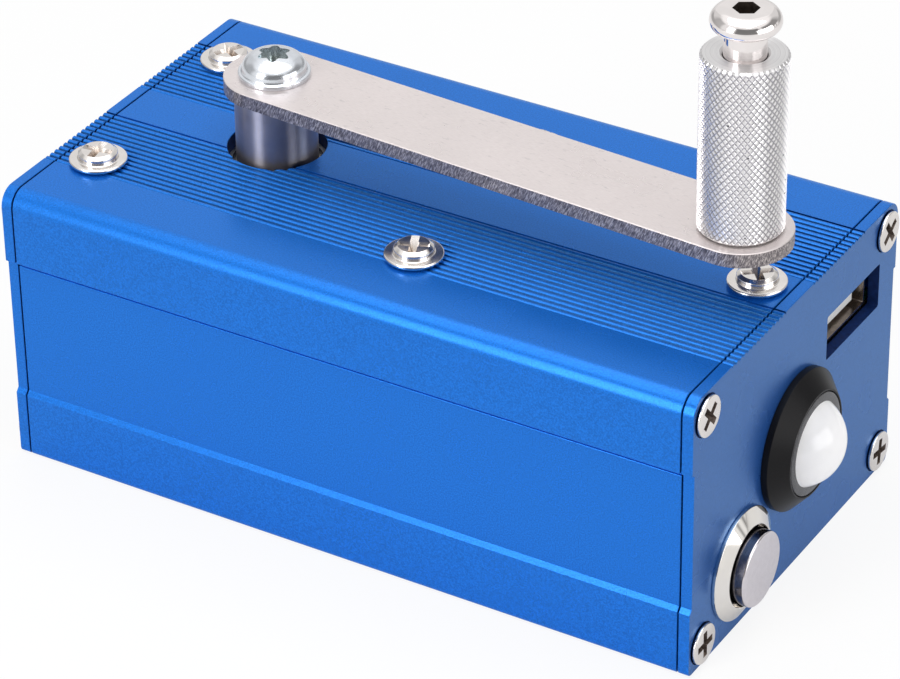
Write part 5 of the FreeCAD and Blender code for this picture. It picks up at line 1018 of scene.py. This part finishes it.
class GENERATOR_OT_end_plate_screws(Operator):
    """Build the eight countersunk screws of the end plates"""
    bl_idname = "generator.end_plate_screws"
    bl_label = "End plate screws"

    def execute(self, context):
        screws = context.scene.generator_screws
        radius, top = screws.head_radius, screws.proud
        nickel = plated("nickel_screw", (0.84, 0.80, 0.765), (0.77, 0.73, 0.70), top, radius / 2)
        # Painted shade for the faces of the cross recesses.
        recess_shade_finish = finish("soiled_recess", (0.22, 0.17, 0.14), (0.07, 0.05, 0.042), 0.3, (0.4, 0.55), 0.01, 0.4)
        for i, (side, y, z) in enumerate(end_screw_spots(screws)):
            made = piece(
                f"end_plate_screw_{i + 1}", end_screw(screws, math.radians(17 + 41 * i)), nickel, "case",
                ["end_plate_screws"], outward(side, side * PLATE_HIGH.x, y, z))
            second_finish(made, recess_shade_finish, lambda centre, normal: in_a_recess(centre, top, radius))
        return {"FINISHED"}


class GENERATOR_OT_top_screws(Operator):
    """Build the five washer-head screws on the roof"""
    bl_idname = "generator.top_screws"
    bl_label = "Top screws"

    def execute(self, context):
        screws = context.scene.generator_screws
        # The washer-head screws' recesses get a lighter painted shade.
        nickel = plated(
            "nickel_washer_screw", (0.87, 0.83, 0.80), (0.80, 0.76, 0.73), screws.dome_height,
            screws.dome / 2, recess_shade=(0.50, 0.44, 0.39))
        for i, (x, y) in enumerate(top_screw_spots(screws)):
            piece(
                f"top_screw_{i + 1}", top_screw(screws, math.radians(8 + 53 * i)), nickel, "case",
                ["top_flange_screws"], at(x, y, CASE_TOP))
        return {"FINISHED"}


# ======================================================================
# Crank and handle
# ======================================================================

def crank_place():
    """Matrix at the crank's axis with local X along the arm."""
    return at(CRANK_AXIS.x, CRANK_AXIS.y) @ Matrix.Rotation(math.atan2(ARM_WAY.y, ARM_WAY.x), 4, "Z")


class GENERATOR_OT_crank_arm(Operator):
    """Build the flat steel arm with round ends"""
    bl_idname = "generator.crank_arm"
    bl_label = "Crank arm"

    def execute(self, context):
        crank = context.scene.generator_crank
        half, bevel, soft = crank.arm_width / 2, crank.arm_bevel, crank.arm_bevel / 2
        low, high = ARM_LOW.z, ARM_HIGH.z
        outline = arc((0, 0), half, 90, 270, 48) + arc((ARM_REACH, 0), half, -90, 90, 48)
        levels = [(low, soft), (low + soft, 0), (high - bevel, 0), (high - soft / 2, soft), (high, 2 * soft)]
        holes = [
            shifted(drum(radius, low - OVERCUT, high + OVERCUT, SMALL_ROUND), x, 0)
            for x, radius in ((0, crank.hub_boss), (ARM_REACH, crank.bolt_shank))]
        piece(
            "flat_crank_arm", carved(stack(outline, levels), holes), arm_steel(), "crank",
            ["crank_arm"], crank_place())
        return {"FINISHED"}


class GENERATOR_OT_crank_hub(Operator):
    """Build the turned hub under the arm"""
    bl_idname = "generator.crank_hub"
    bl_label = "Crank hub"

    def execute(self, context):
        crank = context.scene.generator_crank
        low, base, high = HUB_LOW.z, HUB_LOW.z + crank.hub_lift, HUB_HIGH.z
        bore, collar, radius, boss = crank.hub_bore, crank.hub_collar, crank.hub_radius, crank.hub_boss
        profile = eased([
            (bore, low), (collar, low), (collar, base), (radius, base),
            (radius, ARM_LOW.z), (boss, ARM_LOW.z), (boss, high), (bore, high),
        ], HUB_EDGE, closed=True, steps=4)
        piece(
            "turned_crank_hub", lathe(profile, WIDE_ROUND, closed=True), hub_steel(), "crank",
            ["crank_hub"], crank_place())
        return {"FINISHED"}


class GENERATOR_OT_crank_screw(Operator):
    """Build the domed screw with its six-lobe recess"""
    bl_idname = "generator.crank_screw"
    bl_label = "Crank screw"

    def execute(self, context):
        crank = context.scene.generator_crank
        top, rim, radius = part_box("crank_screw")[1].z - ARM_HIGH.z, crank.screw_rim_height, crank.screw_dome
        shoulder = rim + 0.3 * MM
        foot = eased([
            (0, 0), (crank.screw_rim, 0), (crank.screw_rim, rim), (radius + 0.1 * MM, rim + 0.06 * MM),
            (radius, shoulder),
        ], SCREW_EDGE, steps=5)
        # The crank screw's recess gets a light grey painted shade.
        blue_zinc = plated(
            "bright_zinc", (0.80, 0.83, 0.88), (0.72, 0.75, 0.80), top, crank.lobe_depth,
            gloss=(0.15, 0.23), recess_shade=(0.60, 0.64, 0.63))
        screw = carved(lathe(foot + self.cap(radius, shoulder, top), WIDE_ROUND), [self.recess(crank, top)])
        piece(
            "domed_crank_screw", screw, blue_zinc, "crank", ["crank_screw"],
            crank_place() @ at(0, 0, ARM_HIGH.z))
        return {"FINISHED"}

    @staticmethod
    def cap(radius, base, top, steps=14):
        """Pan-head cap: an ellipse that flattens towards the middle."""
        angles = [math.pi / 2 * i / steps for i in range(1, steps + 1)]
        points = [
            Vector((radius * math.cos(angle) ** 0.8, base + (top - base) * math.sin(angle) ** 0.9))
            for angle in angles]
        points[-1].x = 0.0
        return points

    @staticmethod
    def recess(crank, top, steps=96):
        """Cutter with six smooth lobes and a conical floor."""
        angles = [TURN * i / steps for i in range(steps)]
        outline = [polar(crank.lobe_ring + crank.lobe_swing * math.cos(6 * angle), angle) for angle in angles]
        return stack(outline, [(top - crank.lobe_depth, 0.1 * MM), (top + OVERCUT, 0)])


class GENERATOR_OT_handle_bolt(Operator):
    """Build the polished shoulder bolt with its hex socket"""
    bl_idname = "generator.handle_bolt"
    bl_label = "Handle bolt"

    def execute(self, context):
        crank = context.scene.generator_crank
        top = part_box("handle_bolt")[1].z
        seat, widest = top - crank.bolt_head_height, top - crank.bolt_over
        shank, neck, under, flat = crank.bolt_shank, crank.neck, crank.bolt_under, crank.bolt_flat
        foot = [(0, ARM_LOW.z), (shank, ARM_LOW.z), (shank, ARM_HIGH.z), (neck, ARM_HIGH.z), (neck, seat)]
        head = oval((under, widest), crank.bolt_head - under, widest - seat, -90, 0, 10)
        head += oval((flat, widest), crank.bolt_head - flat, crank.bolt_over, 0, 90, 14)[1:]
        corner = Vector((crank.hex_flats / math.sqrt(3), 0))
        hexagon = [Matrix.Rotation(TURN * (i + 0.5) / 6, 2) @ corner for i in range(6)]
        socket = stack(hexagon, [(top - crank.hex_depth, 0.12 * MM), (top + OVERCUT, 0)])
        bolt = carved(lathe(eased(foot, BOLT_EDGE) + head + [(0, top)], WIDE_ROUND), [socket])
        nickel = finish(
            "polished_nickel", (0.93, 0.88, 0.865), (0.87, 0.825, 0.81), 2.4, (0.06, 0.10), 0.001, 1.0)
        # Painted shade: the walls and floor of the hex socket take a dark brown copy of the nickel.
        hex_shade = finish("oiled_socket", (0.16, 0.13, 0.11), (0.08, 0.065, 0.055), 0.5, (0.3, 0.4), 0.004, 0.8)
        made = piece(
            "polished_handle_bolt", bolt, nickel, "crank", ["handle_bolt"],
            at(HANDLE_AXIS.x, HANDLE_AXIS.y))
        # Faces inside the hex socket get the painted shade.
        reach, brim = 0.65 * crank.hex_flats, top - 0.02 * MM
        second_finish(made, hex_shade, lambda centre, normal: centre.xy.length < reach and seat < centre.z < brim)
        return {"FINISHED"}


class GENERATOR_OT_handle_sleeve(Operator):
    """Build the sleeve with its diamond knurl"""
    bl_idname = "generator.handle_sleeve"
    bl_label = "Handle sleeve"

    def execute(self, context):
        crank = context.scene.generator_crank
        outer, bore, chamfer = (SLEEVE_HIGH.x - SLEEVE_LOW.x) / 2, crank.neck + crank.bore_gap, crank.chamfer
        bm = bmesh.new()
        rings = self.knurl(bm, crank, outer)
        for ring, end, inward in ((rings[0], SLEEVE_LOW.z, 1), (rings[1], SLEEVE_HIGH.z, -1)):
            face = self.ring(bm, ring, outer - chamfer, end)
            mouth = self.ring(bm, ring, bore + chamfer, end)
            inside = self.ring(bm, ring, bore, end + inward * chamfer)
            bridge(bm, ring, face, mouth, inside)
            ring[:] = inside
        bridge(bm, *rings)
        made = piece(
            "knurled_handle_sleeve", bm, knurled_aluminium(outer, crank.knurl_depth), "handle",
            ["handle_sleeve"], at(HANDLE_AXIS.x, HANDLE_AXIS.y), crease=12)
        second_finish(made, turned_end(), lambda centre, normal: abs(normal.z) > 0.5)
        return {"FINISHED"}

    @staticmethod
    def ring(bm, like, radius, height):
        """Ring of points at a radius, at the same angles as another ring."""
        return [bm.verts.new((*(vert.co.xy.normalized() * radius), height)) for vert in like]

    @staticmethod
    def knurl(bm, crank, outer):
        """Diamonds with flat tops between crossing grooves; gives the two end rings."""
        columns, rows, flat = 2 * crank.knurls, crank.knurl_rows, crank.knurl_flat
        low, high = SLEEVE_LOW.z + crank.chamfer, SLEEVE_HIGH.z - crank.chamfer
        step = (high - low) / rows
        grooves = {}

        def spot(column, row, radius):
            return bm.verts.new((*polar(radius, TURN * column / columns), low + step * row))

        def groove(column, row):
            key = (column % columns, row)
            if key not in grooves:
                grooves[key] = spot(column, row, outer - crank.knurl_depth)
            return grooves[key]

        ends = {0: [], rows: []}
        for row in range(rows + 1):
            kept = [(dx, dy) for dx, dy in ((1, 0), (0, 1), (-1, 0), (0, -1)) if 0 <= row + dy <= rows]
            left, right = kept.index((-1, 0)), kept.index((1, 0))
            for column in range(row % 2, columns, 2):
                tops = [spot(column + flat * dx, row + flat * dy, outer) for dx, dy in kept]
                feet = [groove(column + dx, row + dy) for dx, dy in kept]
                bm.faces.new(tops)
                for i, (dx, dy) in enumerate(kept):
                    j = (i + 1) % len(kept)
                    if kept[j] != (-dx, -dy):
                        bm.faces.new([feet[i], feet[j], tops[j], tops[i]])
                if row in ends:
                    ends[row] += [tops[left], tops[right], feet[right]]
        return [ends[0], ends[rows]]


# ======================================================================
# Lamp, push button and socket
# ======================================================================

def on_plate(axis, x=PLATE_HIGH.x):
    """Matrix that turns local Z out of the end plate on a fitting's axis."""
    return outward(1, x, axis.y, axis.z)


class GENERATOR_OT_lamp(Operator):
    """Build the lamp's bezel, lens and emitter"""
    bl_idname = "generator.lamp"
    bl_label = "Lamp"

    def execute(self, context):
        fit = context.scene.generator_fittings
        face = fit.lamp_rim + fit.lamp_cone
        self.bezel(fit, face)
        self.lens(fit, face)
        self.emitter(fit)
        return {"FINISHED"}

    @staticmethod
    def bezel(fit, face):
        """Cone bezel with its barrel."""
        bore, well = fit.lamp_barrel - fit.lamp_barrel_wall, fit.lens_flange + FIT_GAP
        back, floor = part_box("lamp_bezel")[0].x - PLATE_HIGH.x, face - fit.lens_flange_thick
        profile = eased([
            (bore, back), (fit.lamp_barrel, back), (fit.lamp_barrel, 0), (fit.lamp_radius, 0),
            (fit.lamp_radius, fit.lamp_rim), (fit.lamp_front, face), (well, face),
            (well, floor), (bore, floor),
        ], SOFT_EDGE, closed=True, steps=4)
        piece(
            "lamp_cone_bezel", lathe(profile, RIM_ROUND, closed=True), lamp_black(), "case",
            ["lamp_bezel"], on_plate(LAMP_AXIS))

    @staticmethod
    def lens(fit, face):
        """Hollow dome and its flange."""
        radius, height, wall, thick = fit.lens_dome, fit.lens_height, fit.lens_wall, fit.lens_flange_thick
        sphere = (radius ** 2 + height ** 2) / (2 * height)
        hollow = math.sqrt((sphere - wall) ** 2 - (sphere - height) ** 2)
        flange = eased(
            [(hollow, -thick), (fit.lens_flange, -thick), (fit.lens_flange, 0), (radius, 0)], 0.15 * MM)[:-1]
        profile = dome(hollow, height - wall, 20)[::-1] + flange + dome(radius, height, 24)
        made = piece(
            "lamp_dome_lens", lathe(profile, WIDE_ROUND), lens_dome(), "case", ["lamp_lens"],
            on_plate(LAMP_AXIS, PLATE_HIGH.x + face))
        second_finish(made, lens_flange(), lambda centre, normal: centre.xy.length > radius or centre.z < 0)

    @staticmethod
    def emitter(fit):
        """White emitter board with its square chip."""
        low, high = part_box("lamp_emitter")
        thick, radius, half = high.x - low.x, fit.lamp_barrel - fit.lamp_barrel_wall, fit.chip
        board = lathe(eased([(0, 0), (radius, 0), (radius, 0.55 * thick), (0, 0.55 * thick)], SOFT_EDGE))
        square = rectangle(-half, half, -half, half, 0.3 * MM)
        chip = stack(square, eased_levels(0.5 * thick, thick, 0.12 * MM))
        white = finish("emitter_board", (0.85, 0.85, 0.83), (0.74, 0.74, 0.72), 0.4, (0.3, 0.45), 0.004)
        piece(
            "lamp_emitter_board", joined([board, chip]), white, "case", ["lamp_emitter"],
            on_plate(LAMP_AXIS, low.x))


class GENERATOR_OT_push_button(Operator):
    """Build the push button's bezel and actuator"""
    bl_idname = "generator.push_button"
    bl_label = "Push button"

    def execute(self, context):
        fit = context.scene.generator_fittings
        front, guide = fit.button_height, fit.button_radius + fit.button_gap
        well = front - fit.button_well_depth
        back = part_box("button_barrel")[0].x - PLATE_HIGH.x
        profile = eased([
            (guide, back), (fit.button_barrel, back), (fit.button_barrel, 0), (fit.button_bezel, 0),
            (fit.button_bezel, fit.button_rim), (fit.button_face, front), (fit.button_well, front),
            (fit.button_well, well), (guide, well),
        ], SOFT_EDGE, closed=True, steps=4)
        chrome = finish(
            "button_chrome", (0.83, 0.80, 0.76), (0.79, 0.76, 0.72), 2.4, (0.04, 0.07), 0.001, 1.0)
        piece(
            "button_cone_bezel", lathe(profile, RIM_ROUND, closed=True), chrome, "case",
            ["button_barrel"], on_plate(BUTTON_AXIS))
        self.actuator(fit)
        return {"FINISHED"}

    @staticmethod
    def actuator(fit):
        """Flat-faced plunger."""
        low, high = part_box("button_actuator")
        depth, radius = high.x - low.x, fit.button_radius
        profile = eased([(0, -depth), (radius, -depth), (radius, 0), (0, 0)], fit.button_edge, steps=6)
        satin = finish("button_face", (0.74, 0.70, 0.73), (0.69, 0.65, 0.68), 0.9, (0.14, 0.22), 0.002, 1.0)
        # Painted shade: the plunger's side, down in the well, takes a dark copy of its chrome.
        side = finish("button_side", (0.20, 0.19, 0.21), (0.13, 0.125, 0.14), 0.4, (0.16, 0.24), 0.002, 1.0)
        made = piece(
            "button_plunger", lathe(profile, WIDE_ROUND), satin, "button",
            ["button_actuator"], on_plate(BUTTON_AXIS, high.x))
        # The upright side faces get the painted shade.
        second_finish(made, side, lambda centre, normal: abs(normal.z) < 0.3)


class GENERATOR_OT_socket(Operator):
    """Build the data and power socket: shell, tongue and contacts"""
    bl_idname = "generator.socket"
    bl_label = "Socket"

    def execute(self, context):
        fit = context.scene.generator_fittings
        self.shell(fit)
        self.tongue(fit)
        self.contacts(fit)
        return {"FINISHED"}

    @staticmethod
    def shell(fit):
        """Folded shell, open at the front, with its spring windows."""
        wall, corner, low, high = fit.socket_wall, fit.socket_corner, SOCKET_LOW, SOCKET_HIGH
        depth = high.x - low.x
        shell = stack(rectangle(low.y, high.y, low.z, high.z, corner), eased_levels(0, depth, 0.05 * MM))
        inner = rectangle(low.y + wall, high.y - wall, low.z + wall, high.z - wall, corner - wall)
        cutters = [stack(inner, [(wall, 0), (depth + OVERCUT, 0)])]
        centre_y, centre_z = (low.y + high.y) / 2, (low.z + high.z) / 2
        for side in (-1, 1):
            y, half = centre_y + side * fit.spring_spot, fit.spring_half
            window = rectangle(y - half, y + half, high.z - 2 * wall, high.z + OVERCUT, 0.2 * MM)
            cutters.append(stack(window, [(depth - fit.spring_far, 0), (depth - fit.spring_near, 0)]))
        steel = finish("socket_steel", (0.84, 0.84, 0.84), (0.72, 0.72, 0.73), 0.5, (0.16, 0.26), 0.003, 1.0)
        # Painted shade: the inner faces of the shell take a darker, browner copy of its steel.
        inner_shade = finish("socket_inside", (0.36, 0.30, 0.25), (0.24, 0.20, 0.17), 1.2, (0.22, 0.34), 0.003, 0.9)
        made = piece(
            "socket_shell", carved(shell, cutters), steel, "case", ["usb_shell"],
            outward(1, low.x, 0, 0))
        half_y, half_z = centre_y - low.y - wall / 2, centre_z - low.z - wall / 2
        # Faces inside the shell get the painted shade.
        second_finish(
            made, inner_shade, lambda centre, normal: wall / 2 < centre.z < depth - 0.06 * MM
            and abs(centre.x - centre_y) < half_y and abs(centre.y - centre_z) < half_z)

    @staticmethod
    def tongue(fit):
        """Moulded tongue on its body."""
        low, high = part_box("usb_tongue")
        strip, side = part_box("usb_contacts")[0], fit.tongue_side
        block = stack(
            rectangle(low.y, high.y, low.z, high.z, 0.3 * MM), eased_levels(0, strip.x - low.x, SOFT_EDGE))
        plate = rectangle(low.y + side, high.y - side, strip.z - fit.tongue_thick, strip.z, 0.2 * MM)
        tongue = stack(plate, eased_levels(0, high.x - low.x + fit.tongue_forward, 0.12 * MM))
        pale = finish("tongue_plastic", (0.95, 0.95, 0.95), (0.90, 0.90, 0.90), 0.3, (0.35, 0.5), 0.005)
        piece(
            "socket_tongue", joined([block, tongue]), pale, "case", ["usb_tongue"],
            outward(1, low.x, 0, 0))

    @staticmethod
    def contacts(fit, steps=12):
        """Four gold strips, bowed where a plug touches them."""
        low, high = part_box("usb_contacts")
        width, reach = fit.contact_width, high.x - low.x
        outline = [(low.x, low.z), (high.x, low.z)]
        for step in range(steps + 1):
            share = step / steps
            bow = fit.contact_bow * (1 - math.sin(math.pi * share))
            outline.append((high.x - reach * share, high.z - bow))
        strips = []
        for i in range(4):
            y = low.y + i * (high.y - low.y - width) / 3
            upright = Matrix(((1, 0, 0, 0), (0, 0, 1, y), (0, 1, 0, 0), (0, 0, 0, 1)))
            strips.append(moved(stack(outline, eased_levels(0, width, 0.03 * MM)), upright))
        gold = finish("contact_gold", (0.90, 0.68, 0.28), (0.80, 0.58, 0.22), 0.3, (0.12, 0.2), 0.002, 1.0)
        piece("socket_contacts", joined(strips), gold, "case", ["usb_contacts"])


# ======================================================================
# Inner parts, stage and running it all
# ======================================================================

class GENERATOR_OT_inner_parts(Operator):
    """Give each inner part the finish of its slot"""
    bl_idname = "generator.inner_parts"
    bl_label = "Inner parts"

    def execute(self, context):
        finishes = inner_finishes()
        for name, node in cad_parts.items():
            if node.hide_render:
                continue
            slots = [material.name.split(".")[0] for material in node.data.materials]
            for i, slot in enumerate(slots):
                if slot not in finishes:
                    raise RuntimeError(f"{name} has the slot {slot}, which has no finish")
                node.material_slots[i].link = "OBJECT"
                node.material_slots[i].material = finishes[slot]
        return {"FINISHED"}


# Lamps: name, place, height of the point on the Z axis that they face, sides and setting of their power.
LAMPS = (
    ("top_lamp", (0.0, 0.0, 0.95), 0.0, (1.0, 1.0), "top_power"),
    ("key_lamp", (-0.28, -0.83, 0.36), 0.02, (0.32, 0.66), "key_power"),
    ("back_lamp", (-0.40, 0.66, 0.55), 0.02, (0.8, 0.6), "back_power"),
    ("side_lamp", (0.9, 0.0, 0.24), 0.02, (0.9, 0.5), "side_power"),
)

# Brightness of the panels round the object as polished metal shows them, by direction in degrees
# anticlockwise from +X: a low row just over the horizon and a middle row above it.
LOW_PANELS = (
    (-180, 0.40), (-150, 0.50), (-140, 0.85), (-100, 0.85), (-94, 0.22), (-22, 0.22), (-17, 0.90),
    (-5, 0.90), (-2, 0.25), (4, 0.25), (6, 0.95), (9, 0.95), (10.5, 0.15), (12, 0.95), (16, 0.95),
    (18, 0.20), (20, 0.95), (24, 0.95), (26, 0.15), (28, 0.95), (31, 0.95), (33.5, 0.25), (36, 0.95),
    (40, 0.95), (42.5, 0.20), (46, 0.95), (60, 0.40), (90, 0.45), (100, 0.80), (140, 0.80), (155, 0.40),
    (180, 0.40),
)
MIDDLE_PANELS = (
    (-180, 0.45), (-150, 0.50), (-140, 0.85), (-100, 0.85), (-92, 0.20), (-22, 0.20), (-18, 0.75), (-8, 0.75),
    (-4, 0.25), (55, 0.30), (75, 0.72), (165, 0.72), (180, 0.45),
)
WHITE = (1.0, 1.0, 1.0)

CAMERA_PLACE = (0.2426, -0.3987, 0.3161)
CAMERA_ANGLES = (31.32, 32.56, -0.91)  # degrees round from -Y, up from the horizon and of roll


def area_lamp(name, spot, target_height, size, power):
    """Rectangular lamp that faces a point on the Z axis."""
    lamp = bpy.data.lights.new(name, "AREA")
    lamp.shape = "RECTANGLE"
    lamp.size, lamp.size_y = size
    lamp.energy = power
    made = bpy.data.objects.new(name, lamp)
    bpy.context.scene.collection.objects.link(made)
    made.location = spot
    way = Vector((0, 0, target_height)) - Vector(spot)
    made.rotation_euler = way.to_track_quat("-Z", "Y").to_euler()


def seen_directly(rays):
    """Share that is 1 for rays that see a background: camera, glossy and transmission rays."""
    share = rays["Is Camera Ray"]
    for output in ("Is Glossy Ray", "Is Transmission Ray"):
        share = computed("MAXIMUM", share, rays[output])
    return share


def panel_row(turn, panels):
    """Brightness by direction for one row of panels."""
    return tones(turn, *[((degrees + 180) / 360, (value,) * 3) for degrees, value in panels])


def set_world(studio):
    """White surroundings, dimmer as light than they look, with darker panels where metal mirrors them."""
    world = bpy.data.worlds.new("Studio")
    world.use_nodes = True
    world.cycles.sampling_method = "NONE"
    tree = world.node_tree
    way = add(tree, "TexCoord").outputs["Generated"]
    axes = add(tree, "SeparateXYZ", {"Vector": way}).outputs
    rays = add(tree, "LightPath").outputs
    turn = spread(computed("ARCTAN2", axes["Y"], axes["X"]), 0, 1, -math.pi, math.pi)
    above_low, above_middle = spread(axes["Z"], 0, 1, 0.18, 0.24), spread(axes["Z"], 0, 1, 0.62, 0.74)
    rows = blend(above_low, panel_row(turn, LOW_PANELS), panel_row(turn, MIDDLE_PANELS))
    fill(tree.nodes["Background"], {
        "Color": blend(rays["Is Glossy Ray"], WHITE, blend(above_middle, rows, WHITE)),
        "Strength": spread(seen_directly(rays), studio.world_light, 1.0, 0, 1),
    })
    bpy.context.scene.world = world


def floor_material():
    """Pale floor that stays nearly white where it is seen, and keeps soft shadows."""
    material, place = blank_material("pale_floor")
    tree, cloud = material.node_tree, grain(place, 300)
    rays = add(tree, "LightPath").outputs
    glow = add(tree, "Emission", {"Color": (1, 1, 1, 1), "Strength": 1.03})
    share = computed("MULTIPLY", seen_directly(rays), spread(rays["Is Glossy Ray"], 0.85, 0.3, 0, 1))
    shader = tree.nodes["Principled BSDF"].outputs[0]
    mix = add(tree, "MixShader", {0: share, 1: shader, 2: glow.outputs[0]})
    fill(tree.nodes["Material Output"], {"Surface": mix.outputs[0]})
    return dressed(material, {
        "Base Color": two_tones(cloud, (0.90, 0.90, 0.90), (0.93, 0.93, 0.93)), "Roughness": 0.9,
        "Specular IOR Level": 0.1,
    })


class GENERATOR_OT_studio(Operator):
    """Set the floor, the lamps, the surroundings and the camera"""
    bl_idname = "generator.studio"
    bl_label = "Studio"

    def execute(self, context):
        studio = context.scene.generator_studio
        bm = bmesh.new()
        bmesh.ops.create_grid(bm, x_segments=8, y_segments=8, size=studio.floor_size / 2)
        floor = loose_object("studio_floor", bm)
        floor.location.z = BASE_LOW.z
        floor.data.materials.append(floor_material())
        for name, spot, target_height, size, power in LAMPS:
            area_lamp(name, spot, target_height, size, getattr(studio, power))
        set_world(studio)
        self.camera(context, studio)
        context.scene.view_settings.view_transform = "Standard"
        return {"FINISHED"}

    @staticmethod
    def camera(context, studio):
        """Camera above the front right corner."""
        data = bpy.data.cameras.new("Camera")
        data.lens, data.sensor_width, data.clip_start = studio.focal_length, 36.0, 0.01
        made = bpy.data.objects.new("Camera", data)
        context.scene.collection.objects.link(made)
        azimuth, elevation, roll = (math.radians(angle) for angle in CAMERA_ANGLES)
        tilt = Matrix.Rotation(math.pi / 2 - elevation, 4, "X") @ Matrix.Rotation(roll, 4, "Z")
        made.matrix_world = at(*CAMERA_PLACE) @ Matrix.Rotation(azimuth, 4, "Z") @ tilt
        context.scene.camera = made


PIECES = (
    GENERATOR_OT_upper_shell,
    GENERATOR_OT_lower_shell,
    GENERATOR_OT_end_plates,
    GENERATOR_OT_end_plate_screws,
    GENERATOR_OT_top_screws,
    GENERATOR_OT_crank_arm,
    GENERATOR_OT_crank_hub,
    GENERATOR_OT_crank_screw,
    GENERATOR_OT_handle_bolt,
    GENERATOR_OT_handle_sleeve,
    GENERATOR_OT_lamp,
    GENERATOR_OT_push_button,
    GENERATOR_OT_socket,
    GENERATOR_OT_inner_parts,
    GENERATOR_OT_studio,
)

SETTINGS = {
    "generator_case": CaseSettings,
    "generator_screws": ScrewSettings,
    "generator_crank": CrankSettings,
    "generator_fittings": FittingSettings,
    "generator_studio": StudioSettings,
}


class GENERATOR_PT_pieces(Panel):
    """The generator's pieces and their settings"""
    bl_idname = "GENERATOR_PT_pieces"
    bl_label = "Hand crank generator"
    bl_space_type = "VIEW_3D"
    bl_region_type = "UI"
    bl_category = "Generator"

    def draw(self, context):
        for operator in PIECES:
            self.layout.operator(operator.bl_idname)
        for name in SETTINGS:
            settings = getattr(context.scene, name)
            column = self.layout.column(heading=settings.bl_rna.name)
            for key in settings.__annotations__:
                column.prop(settings, key)


def register():
    """Make the settings, the operators and the panel known."""
    for cls in (*SETTINGS.values(), *PIECES, GENERATOR_PT_pieces):
        bpy.utils.register_class(cls)
    for name, cls in SETTINGS.items():
        setattr(bpy.types.Scene, name, PointerProperty(type=cls))


def unregister():
    """Take the settings, the operators and the panel away again."""
    for name in SETTINGS:
        delattr(bpy.types.Scene, name)
    for cls in reversed((*SETTINGS.values(), *PIECES, GENERATOR_PT_pieces)):
        bpy.utils.unregister_class(cls)


def main():
    """Build every piece."""
    register()
    for operator in PIECES:
        group, name = operator.bl_idname.split(".")
        getattr(getattr(bpy.ops, group), name)()


if __name__ == "__main__":
    main()
